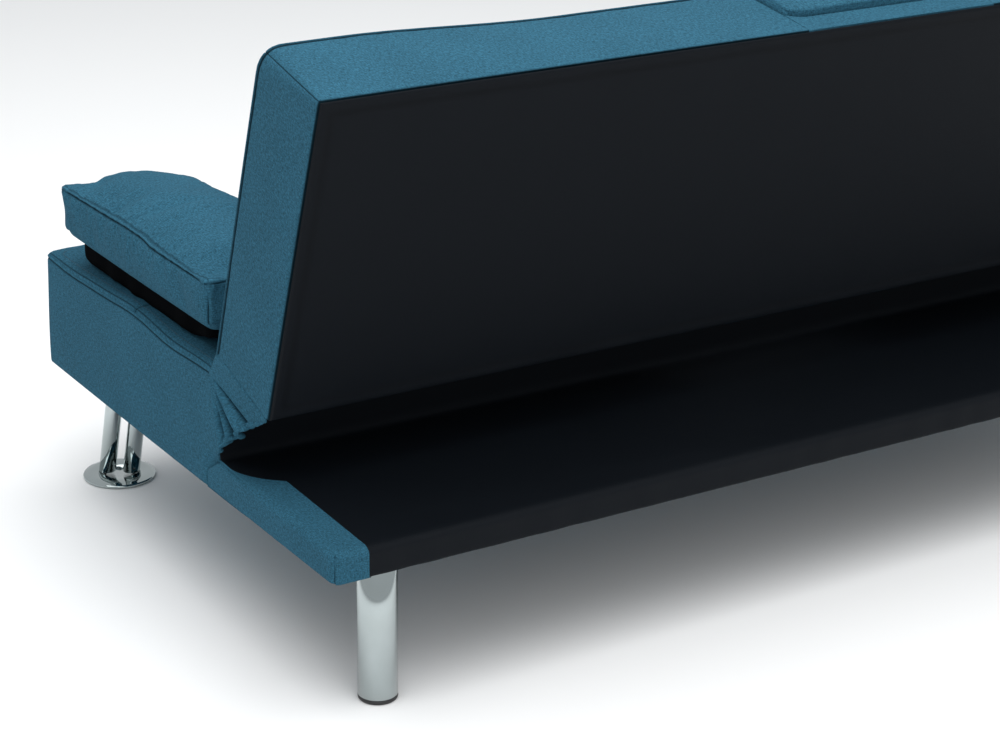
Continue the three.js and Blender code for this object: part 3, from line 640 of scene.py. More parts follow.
def sheet_object(name, grid, uv, look, mirror=False, marks=None, body=None):
    """An open sheet from a grid of points, rows by columns."""
    rows, columns = grid.shape[:2]
    index = np.arange(rows * columns).reshape(rows, columns)
    quads = np.stack([index[:-1, :-1], index[1:, :-1], index[1:, 1:], index[:-1, 1:]], axis=-1).reshape(-1, 4)
    points = grid.reshape(-1, 3).copy()
    if mirror:
        points[:, 0] *= -1
        quads = quads[:, ::-1]
    return new_object(name, points, quads, uv.reshape(-1, 2)[quads], look, marks, body)


def tube_object(name, path, radii, look, mirror):
    """A closed round cord along a path, with its own radius at each point."""
    segments = 14
    runs = np.gradient(path, axis=0)
    runs /= np.linalg.norm(runs, axis=1, keepdims=True)
    side = np.cross(runs, np.array([1.0, 0.0, 0.0]))
    side /= np.maximum(np.linalg.norm(side, axis=1, keepdims=True), 1e-9)
    up = np.cross(side, runs)
    cos, sin = ring_points(segments)
    spokes = cos[None, :, None] * side[:, None] + sin[None, :, None] * up[:, None]
    points = (path[:, None] + radii[:, None, None] * spokes).reshape(-1, 3)
    faces = [(a, d, c, b) for a, b, c, d in ring_faces(len(path), segments)]
    last = (len(path) - 1) * segments
    faces.append(tuple(range(segments)))
    faces.append(tuple(last + a for a in reversed(range(segments))))
    if mirror:
        points[:, 0] *= -1
        faces = [f[::-1] for f in faces]
    round_it = np.arange(segments) * 2 * np.pi / segments * np.mean(radii)
    uv = np.stack(np.broadcast_arrays(run_lengths(path)[:, None], round_it[None]), axis=-1).reshape(-1, 2)
    return new_object(name, points, faces, np.concatenate([uv[list(f)] for f in faces]), look)


def flat_grid(us, vs):
    """A sheet's flat places, its shape as a grid, and each place's distance from its edges."""
    u, v = np.meshgrid(us, vs, indexing="ij")
    edge = np.minimum.reduce([u - us[0], us[-1] - u, v - vs[0], vs[-1] - v])
    return np.stack([u.ravel(), v.ravel()], axis=1), u.shape, edge.ravel()


def thicken(piece, thickness):
    modifier = piece.modifiers.new("thickness", "SOLIDIFY")
    modifier.thickness = thickness
    modifier.offset = 0


def turned_object(name, profile, centre, look, segments):
    """A closed solid of revolution about a vertical axis, from (radius, height) points."""
    cos, sin = ring_points(segments)
    rings = [np.stack([r * cos, r * sin, np.full(segments, z)], axis=1) for r, z in profile]
    points = np.concatenate(rings) + np.array(centre)
    return new_object(name, points, ring_faces(len(profile), segments, closed=True), None, look)


# ---- stitches


STITCH_PITCH, STITCH_LENGTH, STITCH_RADIUS = 6.0 * MM, 4.2 * MM, 0.42 * MM
STITCH_SIDES = 6
STITCH_PROFILE = [(-0.5, 0.25), (-0.3, 1.0), (0.3, 1.0), (0.5, 0.25)]


def stitches(name, paths, host, body):
    """Short raised stitches along paths, each laid on the nearest surface of a host piece."""
    mesh = host.data
    tree = BVHTree.FromPolygons([v.co for v in mesh.vertices], [p.vertices for p in mesh.polygons])
    ring = np.arange(STITCH_SIDES) * np.pi / 3
    points, faces = [], []
    for path in paths:
        path = np.asarray(path, float)
        lengths = run_lengths(path)
        for at in np.arange(STITCH_PITCH / 2, lengths[-1] - STITCH_PITCH / 2, STITCH_PITCH):
            found = []
            for d in (-STITCH_LENGTH / 2, STITCH_LENGTH / 2):
                place = [np.interp(at + d, lengths, column) for column in path.T]
                found.append(tree.find_nearest(Vector(place)))
            start, end = (np.array(f[0]) for f in found)
            up = np.array(found[0][1] + found[1][1])
            up /= np.linalg.norm(up)
            run = end - start
            run /= max(np.linalg.norm(run), 1e-9)
            side = np.cross(run, up)
            middle = (start + end) / 2 + up * STITCH_RADIUS * 0.2
            first, last = len(points), len(points) + (len(STITCH_PROFILE) - 1) * STITCH_SIDES
            for share, width in STITCH_PROFILE:
                centre = middle + run * share * STITCH_LENGTH
                for angle in ring:
                    spoke = side * math.cos(angle) + up * math.sin(angle)
                    points.append(centre + STITCH_RADIUS * width * spoke)
            faces += ring_faces(len(STITCH_PROFILE), STITCH_SIDES, first)
            faces.append(tuple(first + a for a in reversed(range(STITCH_SIDES))))
            faces.append(tuple(last + a for a in range(STITCH_SIDES)))
    return new_object(name, np.array(points), faces, None, "thread", None, body)


def rounded_path(x0, x1, y0, y1, z, radius):
    """A rectangle with round corners at one height: points from its right rear corner to its left one."""
    points = []
    corners = [(x1 - radius, y1 - radius, 90), (x1 - radius, y0 + radius, 0)]
    corners += [(x0 + radius, y0 + radius, -90), (x0 + radius, y1 - radius, -180)]
    for cx, cy, start in corners:
        for angle in np.radians(np.linspace(start, start - 90, 7)):
            points.append((cx + radius * math.cos(angle), cy + radius * math.sin(angle), z))
    return points


# ---- seat

SEAT_SEAM_Y = -0.119
SEAT_EDGE_Z = 0.350
# In mm, as a block's methods take them:
SEAT_CORNER_RADIUS = 12
SEAT_WELT = 5
SEAT_STITCH_INSET = 14


def end_seam_y(z):
    """Where the seat's end meets the shelf's end: the seam leans forward below the shelf's top."""
    return 0.133 - 0.032 * ease(-z, -0.233, -0.206)


def build_seat():
    b = Block(
        (-HALF_LENGTH, HALF_LENGTH, 9),
        (seat_low.y, seat_high.y, 8, [SEAT_SEAM_Y]),
        (seat_low.z, SEAT_EDGE_Z, 9, [SEAT_EDGE_Z - SEAT_WELT * MM]),
    )
    x, y, z = b.rest.T
    ends = (LOW_X, HIGH_X)
    for end in ends:
        b.round_edges((end, LOW_Y, SEAT_CORNER_RADIUS), (end, HIGH_Y, 3), (HIGH_Z, end, 5), (LOW_Z, end, 4))
    b.round_edges((HIGH_Z, LOW_Y, 6), (HIGH_Z, HIGH_Y, 8), (LOW_Z, LOW_Y, 6))
    b.crown(19, 0.32, HIGH_Z)
    b.crown(13, 0.5, LOW_Y)
    b.crown(5, 0.5, *ends)
    b.soften((HIGH_Z, LOW_Y, HIGH_X, LOW_X), 0.21, 0.9 * MM, 31)
    b.channel(HIGH_Z, 1, SEAT_SEAM_Y, 5, 20)
    b.welt(HIGH_Z, SEAT_WELT, 2.6, 4.5, 0.8)
    b.crease(HIGH_Z, 3.4, 0.7, 2.4, 0.8)
    b.crease(HIGH_Z, SEAT_STITCH_INSET, 0.8, 3, 0.15)
    b.pleats(HIGH_Z, LOW_Y, 24, 60, 1.8, 21, 0.02, 0.98)
    b.pleats(LOW_Y, HIGH_Z, 26, 60, 1.8, 22, 0.02, 0.98)
    for end, seed in zip(ends, (23, 24)):
        b.pleats(HIGH_Z, end, 22, 34, 0.6, seed, 0.05, 0.9)
        b.pleats(end, HIGH_Z, 26, 45, 0.5, seed + 2, 0.05, 0.9)
    # The ends' top seam is held up where the seam across the seat meets it.
    out = np.abs(x)
    held = 5.5 * line(y - SEAT_SEAM_Y, 0.075) - 3.5 * line(y + 0.005, 0.06) - 3 * line(y + 0.33, 0.06)
    b.p[:, 2] += held * MM * ease(out, HALF_LENGTH - 0.10, HALF_LENGTH - 0.01) * ease(z, 0.25, 0.34)
    # Away from the ends the seat is full right up to the backrest, and its front stands forward low down.
    inside = 1 - ease(out, HALF_LENGTH - 0.10, HALF_LENGTH - 0.02)
    full = (4 + 12 * ease(out, 0.155, 0.20)) * MM * inside
    b.p[:, 2] += full * ease(y, 0.02, seat_high.y - 0.012) * ease(z, 0.30, 0.35)
    forward = 6 * MM + 8 * MM * (1 - ease(z, 0.19, 0.34))
    b.p[:, 1] -= forward * (1 - ease(y, seat_low.y, seat_low.y + 0.10))
    b.p[:, 2] -= 3 * MM * (1 - ease(z, seat_low.z, 0.25))
    # The cover is pulled in where the end of the shelf is sewn to it.
    on_end = b.on[:, HIGH_X] | b.on[:, LOW_X]
    low_rear = on_end * ease(y, 0.085, 0.115) * (1 - ease(z, 0.225, 0.245))
    b.p[:, 0] -= np.sign(b.p[:, 0]) * 6 * MM * low_rear
    # Shade is painted along that seam on the ends.
    b.mark(np.abs(y - end_seam_y(z)), 1.6 * MM, 0.9, on_end & (z < 0.232))
    seat = padded_piece("seat_padding", b, "base", ["seat_cover", "seat_foam"])

    inset = SEAT_STITCH_INSET * MM
    end = HALF_LENGTH - inset
    stitch_z = SEAT_EDGE_Z + 8 * MM
    around = rounded_path(-end, end, seat_low.y + inset, seat_high.y + 0.03, stitch_z, 16 * MM)
    paths = [around[:14], around[6:22], around[14:]]
    for side in (-1, 1):
        row = SEAT_SEAM_Y + side * 7 * MM
        paths.append([(x, row, stitch_z + 12 * MM) for x in np.linspace(-end, end, 90)])
    stitches("seat_topstitching", paths, seat, "base")


# ---- arm cushions

AROUND = (LOW_X, HIGH_X, LOW_Y, HIGH_Y)
CORNERS = [(first, second) for first in (LOW_X, HIGH_X) for second in (LOW_Y, HIGH_Y)]
ARM_SEAM_DROP = 5  # mm
ARM_TOP_Z = 0.470
ARM_BOTTOM_Z = 0.390


def arm_padding():
    step, seam_drop = 3.2, ARM_SEAM_DROP * MM
    b = Block(
        (arm_low.x + 2 * MM, arm_high.x - 1 * MM, step),
        (arm_low.y, arm_high.y - 5 * MM, step),
        (ARM_BOTTOM_Z, ARM_TOP_Z, step, [ARM_TOP_Z - seam_drop]),
    )
    x, y, z = b.rest.T
    for side in AROUND:
        b.round_edges((LOW_Z, side, 26), (HIGH_Z, side, 5))
    for first, second in CORNERS:
        b.round_edges((first, second, 8 if first == HIGH_X else 34))
    b.crown(20, 0.85, HIGH_Z)
    b.crown(3, 0.5, *AROUND)
    b.soften((HIGH_Z, *AROUND), 0.13, 1.0 * MM, 60, 0.03)
    # The cover is blown up between its top seam and its lower edge.
    at_seam = np.abs(b.dist[:, HIGH_Z] - seam_drop) < 1 * MM
    underneath = z < ARM_BOTTOM_Z + 6 * MM
    inflate(b, at_seam | underneath, 3.5, 0.05, 10 * MM)
    b.welt(HIGH_Z, ARM_SEAM_DROP, 2.4, 4.0, 0.8, 1.5)
    b.crease(HIGH_Z, 2.8, 0.8, 2.4, 0.8)
    for first, second in CORNERS:
        b.edge_seam(first, second, 1.4, 3)
    for number, side in enumerate(AROUND):
        top_depth = 4.0 if side in (LOW_X, HIGH_X) else 1.2
        b.pleats(HIGH_Z, side, 13, 52, top_depth, 70 + number, 0.14, 0.95)
        b.pleats(side, HIGH_Z, 15, 60, 3.2, 80 + number, 0.05, 0.95)
    # The outer corners of the top are drawn out to points.
    for side in (LOW_Y, HIGH_Y):
        corner = np.hypot(b.dist[:, HIGH_X], b.dist[:, side])
        b.swell(4 * MM * line(corner, 20 * MM) * ease(z, ARM_BOTTOM_Z + 30 * MM, ARM_TOP_Z))
    # The top seam runs unevenly: it is pinched down over its rear part, and the inner side lies lower.
    sag = 4 * (1 - ease(-y, 0.052, 0.080)) + 2.0 * line(y + 0.345, 0.08) - 2.5 * line(y + 0.12, 0.07)
    inner = 7 * ease(arm_high.x - x, 0.06, 0.185)
    b.p[:, 2] -= (sag + inner) * MM * ease(z, ARM_BOTTOM_Z + 15 * MM, ARM_TOP_Z)
    return b


def arm_grip():
    """Under the cushion a black non-slip panel bulges down on to the seat. Its near-black look also paints the
    deep shadow there, and it reaches past the CAD pad at the front and both ends, where that shadow falls.
    """
    b = Block(
        (pad_low.x - 6 * MM, pad_high.x + 4 * MM, 7),
        (pad_low.y - 6 * MM, pad_high.y - 2 * MM, 7),
        (0.356, ARM_BOTTOM_Z + 14 * MM, 6),
    )
    b.round_edges(*[(first, second, 30) for first, second in CORNERS])
    b.round_edges(*[(LOW_Z, side, 16) for side in AROUND])
    b.p[:, 2] += 22 * MM * ease(b.rest[:, 1], 0.0, pad_high.y) * ease(-b.rest[:, 2], -0.38, -0.356)
    b.soften(AROUND, 0.045, 1.8 * MM, 71, 0.004)
    return b


def build_arms():
    padding, grip = arm_padding(), arm_grip()
    for label, sign in SIDES.items():
        body, cover, pad = f"arm_{label}", f"arm_cushion_{label}", f"arm_grip_pad_{label}"
        padded_piece(f"{cover}_padding", padding, body, [cover], mirror=sign < 0)
        padded_piece(f"arm_{label}_grip", grip, body, [pad], "black_pad_with_shadow", mirror=sign < 0)


# ---- backrest

FRONT_CORNER_RADIUS, REAR_CORNER_RADIUS, BACK_WELT = 22, 5, 5.5  # mm
BACK_FRONT = -6 * MM
BACK_SEAM_SHARE = 0.42


def back_top(y):
    """Height of the top of the backrest, in its own frame, at a depth y."""
    low, high = back_box("back_cover_right")
    return high[2] - (high[1] - y) / 6


def build_back_half(label, sign):
    low, high = back_box("back_cover_right")
    height = back_top(0)
    seam_z = BACK_SEAM_SHARE * height
    b = Block(
        (low[0], high[0], 9),
        (BACK_FRONT, high[1], 9, [BACK_FRONT + BACK_WELT * MM]),
        (0, height, 8, [seam_z]),
    )
    x, y, z = b.rest.T
    depth = np.clip(y / high[1], 0, 1)
    around = (LOW_X, HIGH_X, LOW_Z, HIGH_Z)
    b.round_edges((HIGH_X, HIGH_Z, FRONT_CORNER_RADIUS * (1 - depth) ** 1.2 + REAR_CORNER_RADIUS))
    b.round_edges(*[(LOW_Y, side, 4) for side in around])
    b.round_edges((HIGH_Y, HIGH_X, 6), (HIGH_Y, HIGH_Z, 4), (LOW_Z, HIGH_X, 1.5))
    b.crown(12, 0.42, LOW_Y)
    b.crown(2.5, 0.6, HIGH_X)
    b.crown(3, 0.6, HIGH_Z)
    b.crown(-5, 0.4, HIGH_Y)
    b.soften((LOW_Y,), 0.20, 1.0 * MM, 91)
    b.soften((HIGH_X, HIGH_Z), 0.10, 0.5 * MM, 92, 0.03)
    b.channel(LOW_Y, 2, seam_z, 5, 20)
    b.welt(LOW_Y, BACK_WELT, 3.2, 4.0, 1.2, 2.2)
    b.edge_seam(HIGH_X, HIGH_Z, 1.0, 2.5)
    # Shade is painted along the rear edges, where the back panel meets the cover.
    b.mark(b.dist[:, HIGH_Y], 2.0 * MM, 0.95)
    for number, side in enumerate(around):
        b.pleats(LOW_Y, side, 24, 55, 1.7, 100 + number, 0.03, 0.97)
    b.pleats(HIGH_Z, LOW_Y, 30, 60, 0.5, 105, 0.03, 0.97)
    b.pleats(HIGH_X, LOW_Y, 30, 60, 0.4, 106, 0.03, 0.97)
    # The top slopes up to the rear, and its front edge is fullest near the corner.
    share = z / height
    b.p[:, 2] += share * y / 6
    fall = 12 * MM * ease(high[0] - x, 0.10, 0.40)
    b.p[:, 2] += (9 * MM - fall) * (1 - depth) * ease(share, 0.8, 1.0)
    # Its lower front edge hangs down to the seat.
    b.p[:, 2] -= 7 * MM * (1 - ease(y, 0, 0.024)) * (1 - ease(share, 0, 0.12))
    b.p = from_back(b.p)
    nodes = [f"back_cover_{label}", f"back_foam_{label}"]
    half = padded_piece(f"back_padding_{label}", b, "backrest", nodes, mirror=sign < 0)
    paths = []
    for offset in (-7 * MM, 7 * MM):
        along = np.linspace(low[0] + 0.015, high[0] - 0.015, 60)
        points = from_back(np.array([(x, -10 * MM, seam_z + offset) for x in along]))
        points[:, 0] *= sign
        paths.append(points)
    stitches(f"back_{label}_topstitching", paths, half, "backrest")


def lip_reach(x):
    """How far the console's stuffed top swells back over the strip: less at its rounded corners."""
    half = back_box("console_cover")[1][0]
    in_corner = np.clip(1 - (half - np.abs(x)) / (38 * MM), 0, 1)
    return CONSOLE_LIP * np.sqrt(1 - in_corner ** 2)


def build_back_strip():
    low, high = back_box("back_cover_center")
    front = 84 * MM
    b = Block(
        (low[0], high[0], 5),
        (front, high[1], 3),
        (0, back_top(front), 9),
    )
    x, y, z = b.rest.T
    share = z / b.high[2]
    b.round_edges((HIGH_Z, LOW_Y, 5), (HIGH_Z, HIGH_Y, 4))
    b.crown(-4, 0.4, HIGH_Y)
    b.p[:, 2] += share * (y - front) / 6
    # A wedge below the recess reaches forward to the front face.
    b.p[:, 1] -= np.where(b.on[:, LOW_Y], ease(0.020 - z, 0, 0.018) * (front - 26 * MM), 0)
    limit = (b.p[:, 1] * math.sin(RECLINE) - 7 * MM) / math.cos(RECLINE)
    cut = np.minimum(b.p[:, 2], np.maximum(limit, 1 * MM))
    b.p[:, 2] = np.where(b.on[:, LOW_Y] & (z < 0.03), cut, b.p[:, 2])
    b.p[:, 2] -= 4 * MM * (1 - ease(z, 0, 0.004)) * (1 - ease(b.p[:, 1], front, front + 12 * MM))
    # Its top is pressed down under the console's lip, and shade is painted along the line where the lip overhangs
    # it.
    lip_end = back_box("console_cover")[1][1] + lip_reach(x)
    b.mark(np.abs(y - lip_end - 1.5 * MM), 1.6 * MM, 0.9, b.on[:, HIGH_Z])
    b.p[:, 2] -= 11 * MM * (1 - ease(y, lip_end + 0.8 * MM, lip_end + 3.5 * MM)) * share ** 4
    b.p = from_back(b.p)
    padded_piece("back_strip", b, "backrest", ["back_cover_center"])


def build_back_panel():
    low, high = back_box("back_dust_panel")
    xs = spread_lines(low[0], high[0], 10 * MM)
    zs = spread_lines(low[2], high[2], 9 * MM)
    flat, shape, edge = flat_grid(xs, zs)
    surface = high[1] + 0.3 * MM
    hang = 2.6 * MM * ease(edge, 0, 0.20)
    pulls = waves(flat * np.array([1, 0.25]), 0.09, 101) * 0.7 * MM * np.exp(-edge / 0.09)
    folded = 1.1 * MM * (1 - ease(edge, 12 * MM, 15 * MM))
    tuck = -2.2 * MM * (1 - ease(edge, 0, 2.5 * MM))
    y = surface - hang + pulls * ease(edge, 0, 0.02) + folded + tuck
    local = np.stack([flat[:, 0], y, flat[:, 1]], axis=1)
    grid = from_back(local).reshape(*shape, 3)
    # Shade is painted along the fold of the hem, 14 mm in from the edges.
    seam = line(edge - 14 * MM, 1.2 * MM) * 0.5
    uv = flat.reshape(*shape, 2)
    panel = sheet_object("back_panel_cloth", grid, uv, "black_cloth", marks={"seam": seam}, body="backrest")
    thicken(panel, 0.8 * MM)
    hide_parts("back_dust_panel")


# ---- console

CONSOLE_LIP = 15 * MM
CONSOLE_LIP_HEIGHT = 13 * MM
TRAY_CORNER = 14 * MM


def rounded_distance(x, z, half_x, half_z, radius):
    """Distance outside (+) or inside (-) a rectangle with round corners about the origin."""
    across, up = np.abs(x) - half_x + radius, np.abs(z) - half_z + radius
    return np.hypot(np.maximum(across, 0), np.maximum(up, 0)) + np.minimum(np.maximum(across, up), 0) - radius


def build_console():
    low, high = back_box("console_cover")
    pivot = to_back(CONSOLE_PIVOT)
    radius = pivot[1] - low[1]
    top = high[2] - (high[1] - low[1]) / 6
    tray_low, tray_high = back_box("cup_tray")
    tray_z, tray_half = (tray_low[2] + tray_high[2]) / 2, (tray_high - tray_low) / 2
    pit_x, pit_z = tray_half[0] - 10 * MM, tray_half[2] - 7 * MM
    b = Block(
        (low[0], high[0], 6, [-pit_x, pit_x]),
        (low[1], high[1], 7),
        (low[2], top, 6, [tray_z - pit_z, tray_z + pit_z, top - CONSOLE_LIP_HEIGHT]),
    )
    x, y, z = b.rest.T
    b.round_edges(*[(LOW_Y, side, 7) for side in (LOW_X, HIGH_X, HIGH_Z)])
    b.round_edges((HIGH_Z, LOW_X, 8), (HIGH_Z, HIGH_X, 8), (HIGH_Z, HIGH_Y, 7))
    b.crown(6, 0.4, LOW_Y)
    b.crown(8, 0.5, HIGH_Z)
    b.welt(LOW_Y, 8, 2.4, 4.5, 1.0)
    b.pleats(LOW_Y, HIGH_Z, 18, 45, 0.9, 111)
    b.pleats(HIGH_Z, LOW_Y, 18, 30, 0.6, 112)
    # Shade is painted on the rear face along the lower edge of the lip.
    b.mark(np.abs(b.dist[:, HIGH_Z] - CONSOLE_LIP_HEIGHT), 2.5 * MM, 0.9, b.on[:, HIGH_Y])
    near_top = 1 - ease(b.dist[:, HIGH_Z], CONSOLE_LIP_HEIGHT - 3 * MM, CONSOLE_LIP_HEIGHT)
    b.p[:, 1] += lip_reach(x) * near_top * ease(y, 0.4 * high[1], high[1])
    above_tray = tray_high[2] + 4 * MM
    b.p[:, 2] += np.clip((z - above_tray) / (top - above_tray), 0, 1) * (y - low[1]) / 6
    # The padding dips under the rim of the tray, and is open below its cups.
    up = z - tray_z
    outside = rounded_distance(x, up, tray_half[0], tray_half[2], TRAY_CORNER)
    dip_depth = 5 * MM * (1 - ease(outside, -1 * MM, 3 * MM))
    pit = (np.abs(x) < pit_x + 0.2 * MM) & (np.abs(up) < pit_z + 0.2 * MM)
    dip_depth = np.where(pit, high[1] - tray_low[1] + 3 * MM, dip_depth)
    b.p[:, 1] -= np.where(b.on[:, HIGH_Y], dip_depth, 0)
    # The lower end is half round about the axle.
    from_axle = b.p[:, 1:] - pivot[1:]
    length = np.maximum(np.hypot(*from_axle.T), 1e-9)
    reach = np.minimum(np.abs(from_axle).max(axis=1), radius)
    turned = pivot[1:] + from_axle / length[:, None] * reach[:, None]
    b.p[:, 1:] = np.where(from_axle[:, 1:] < 0, turned, b.p[:, 1:])
    b.p = from_back(b.p)
    padded_piece("console_padding", b, "console", ["console_cover", "console_core"])


# ---- shelf

SHELF_END_Y = 0.142
WRAP_WIDTH = 46 * MM
WRAP_STRAIGHT_Y = 0.228
SHELF_ROUND = 9 * MM
UNDERSIDE_MARGIN = 12 * MM


def shelf_height(y):
    """Top of the shelf cloth, falling to the rear."""
    front, rear = 0.232, 0.2234
    return front + (rear - front) * np.clip((y - SHELF_END_Y) / (shelf_high.y - SHELF_END_Y), -0.1, 1)


WALL_TOP, WALL_FOOT = 0.3738, 0.240
# Where the wall is slit round a hinge, and where it stands up beside the console.
HINGE_SLIT, BESIDE_CONSOLE = (0.7785, 0.7940), (0.141, 0.1505)


def shelf_path(lift, wall_top, under):
    """Points (y, z) of a line over the shelf: down the wall, over the top, round the edge and under."""
    wall_y = shelf_low.y + 2 * MM + lift * 0.3
    rear = shelf_high.y + lift * 0.5
    edge_z = float(shelf_height(rear)) + lift
    wall = np.linspace(wall_top, WALL_FOOT, 20)
    points = [(wall_y - 1.6 * MM * float(ease(z, 0.335, 0.350)), z) for z in wall]
    points += [(wall_y + 2 * MM, 0.2345 + lift)]
    tops = spread_lines(wall_y + 7 * MM, rear - SHELF_ROUND, 9 * MM, steps=NO_STEPS)
    points += [(y, float(shelf_height(y)) + lift) for y in tops]
    for angle in np.linspace(0, np.pi / 2, 8)[1:]:
        y = rear - SHELF_ROUND + SHELF_ROUND * math.sin(angle)
        points.append((y, edge_z - SHELF_ROUND + SHELF_ROUND * math.cos(angle)))
    bottom = shelf_low.z
    points += [(rear, z) for z in np.linspace(edge_z - SHELF_ROUND - 3 * MM, bottom + 3 * MM, 5)]
    points += [(rear - 1 * MM, bottom + 0.6 * MM), (rear - 3 * MM, bottom)]
    points += [(rear - 3 * MM - s, bottom) for s in np.linspace(0, under, 5)[1:]]
    return np.array(points)


def build_shelf_cloth():
    path = shelf_path(0.2 * MM, WALL_TOP, 25 * MM)
    end = HALF_LENGTH - 1 * MM
    edges = [place for edge in (*HINGE_SLIT, *BESIDE_CONSOLE) for place in (-edge, edge)]
    xs = spread_lines(-end, end, 9 * MM, edges)
    lengths = run_lengths(path)
    x, row = np.meshgrid(xs, np.arange(len(path)), indexing="ij")
    y, z = path[row, 0], path[row, 1]
    s = lengths[row]
    flat = np.stack([x.ravel(), s.ravel()], axis=1)
    # The wall is slit round each hinge, and stands up a little beside the console.
    out, slack = np.abs(x), 0.1 * MM
    places = (HINGE_SLIT, BESIDE_CONSOLE)
    in_slit, beside = ((out > low - slack) & (out < high + slack) for low, high in places)
    own_top = WALL_TOP + np.where(beside, 3.5 * MM, 0) - np.where(in_slit, 18 * MM, 0)
    stretched = WALL_FOOT + (z - WALL_FOOT) * (own_top - WALL_FOOT) / (WALL_TOP - WALL_FOOT)
    z = np.where(z > WALL_FOOT, stretched, z)
    wall_covered = ease(z, 0.262, 0.290) * (1 - 0.7 * ease(z, 0.345, 0.356))
    covered = np.maximum(ease(y, 0.17, 0.225), wall_covered) * ease(np.abs(x), HALF_LENGTH - 0.04, end)
    x = x - np.sign(x) * 13 * MM * covered
    on_top = (ease(y, 0.15, 0.20) * ease(shelf_high.y - y, 0.004, 0.05)).ravel()
    ripple = waves(flat * np.array([0.5, 1]), 0.10, 121) * 0.7 * MM + waves(flat, 0.33, 122) * 0.8 * MM
    droop = 0.9 * MM
    grid = np.stack([x, y, z], axis=-1)
    grid[..., 2] += (on_top * (ripple - droop)).reshape(x.shape)
    rear_pull = (waves(flat * np.array([1, 0.2]), 0.05, 123) * 0.4 * MM).reshape(x.shape)
    grid[..., 1] += rear_pull * ease(y, shelf_high.y - 4 * MM, shelf_high.y)
    cloth = sheet_object("shelf_covering", grid, flat.reshape(x.shape + (2,)), "black_cloth", body="base")
    thicken(cloth, 0.6 * MM)
    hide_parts("shelf_cloth")


def wrap_inner_x(y):
    """Inner edge of the fabric that wraps an end of the shelf: straight at the rear, then cut away."""
    straight = HALF_LENGTH - WRAP_WIDTH
    t = np.clip((WRAP_STRAIGHT_Y - y) / (WRAP_STRAIGHT_Y - SHELF_END_Y), 0, 1)
    return straight + (WRAP_WIDTH - 1 * MM) * (1 - (1 - t) ** 2.7)


def build_wrap(label, sign):
    low_z, rear = wrap_low.z, wrap_high.y + 0.9 * MM
    outer = HALF_LENGTH + 2.2 * MM
    front = 0.100
    b = Block(
        (784 * MM, outer, 5),
        (front, rear, 6),
        (low_z, 0.2335, 5),
    )
    x, y, z = b.rest.T
    b.round_edges((HIGH_Z, HIGH_Y, 11), (HIGH_Z, HIGH_X, 9), (HIGH_X, HIGH_Y, 13))
    b.round_edges((LOW_Z, HIGH_X, 3), (HIGH_X, LOW_Y, 3))
    b.edge_seam(HIGH_X, HIGH_Y, 1.2, 3)
    # The shade painted down the rear corner seam is kept to its lower part.
    b.seam *= 1 - ease(z, 0.203, 0.212)
    b.crown(1.2, 0.6, HIGH_X)
    b.p[:, 0] += (wrap_inner_x(y) - b.low[0]) * (1 - b.share(0))
    b.p[:, 2] += b.share(2) * (shelf_height(y) + 1.5 * MM - b.high[2])
    # The front border of the end panel leans: low down it reaches further forward, over the seat end.
    b.p[:, 1] += (end_seam_y(z) - front) * (1 - ease(y, front, front + 0.09))
    b.soften((HIGH_Z,), 0.07, 0.6 * MM, 131, 0.02)
    padded_piece(f"shelf_end_{label}", b, "base", [f"shelf_end_cover_{label}"], mirror=sign < 0)


# ---- gussets

GUSSET_X = 0.8348
GUSSET_APEX = np.array([0.113, 0.345])
BACK_LINE = [(0.1365, 0.384), (0.150, 0.3795), (0.200, 0.3625), (0.262, 0.3415)]
HEM_LINE = [
    (0.268, 0.333), (0.232, 0.317), (0.212, 0.309), (0.190, 0.287),
    (0.168, 0.276), (0.149, 0.266), (0.137, 0.248), (0.128, 0.238),
]
# Each main pleat's direction and width in degrees, and how far it stands out in mm.
GUSSET_PLEATS = [(20, 3, -8), (29, 6, 4), (47, 6.5, -13), (57, 3, 2), (67, 4, -6)]
BACK_ROWS, HEM_ROWS, GUSSET_COLUMNS = 60, 170, 56


def curve_through(points, count):
    """Evenly spaced points along a smooth curve through a few points (Catmull-Rom)."""
    points = np.array(points, float)
    padded = np.vstack([2 * points[0] - points[1], points, 2 * points[-1] - points[-2]])
    pieces = []
    for a, b, c, d in zip(padded, padded[1:], padded[2:], padded[3:]):
        t = np.linspace(0, 1, 12, endpoint=False)[:, None]
        pieces.append(b + 0.5 * t * (c - a + t * (2 * a - 5 * b + 4 * c - d + t * (3 * (b - c) + d - a))))
    dense = np.vstack([*pieces, points[-1:]])
    lengths = run_lengths(dense)
    at = np.linspace(0, lengths[-1], count)
    return np.stack([np.interp(at, lengths, dense[:, a]) for a in range(2)], axis=1)


def gusset_relief(yz):
    """How far the web stands out (+) or in (-): smooth by the backrest, then pleats fanning from the apex."""
    out = yz - GUSSET_APEX
    reach = np.hypot(out[..., 0], out[..., 1])
    angle = -np.degrees(np.arctan2(out[..., 1], out[..., 0]))
    grow = ease(reach, 0.004, 0.045)
    relief = sum(height * MM * line(angle - place, width) * grow for place, width, height in GUSSET_PLEATS)
    gathered = ease(angle, 21, 30) * (1 - ease(angle, 76, 82))
    near_hem = ease(reach, 0.045, 0.095)
    relief += 1.9 * MM * np.sin(np.radians(angle * 27)) * gathered * near_hem
    relief += 1.6 * MM * np.sin(np.radians(angle * 15 + 40)) * gathered * grow
    bunched = np.abs(np.sin(np.radians(angle * 31 + 12 * np.sin(reach / 0.009)))) ** 0.7
    relief += 3.0 * MM * (bunched - 0.55) * gathered * ease(reach, 0.012, 0.05)
    return relief


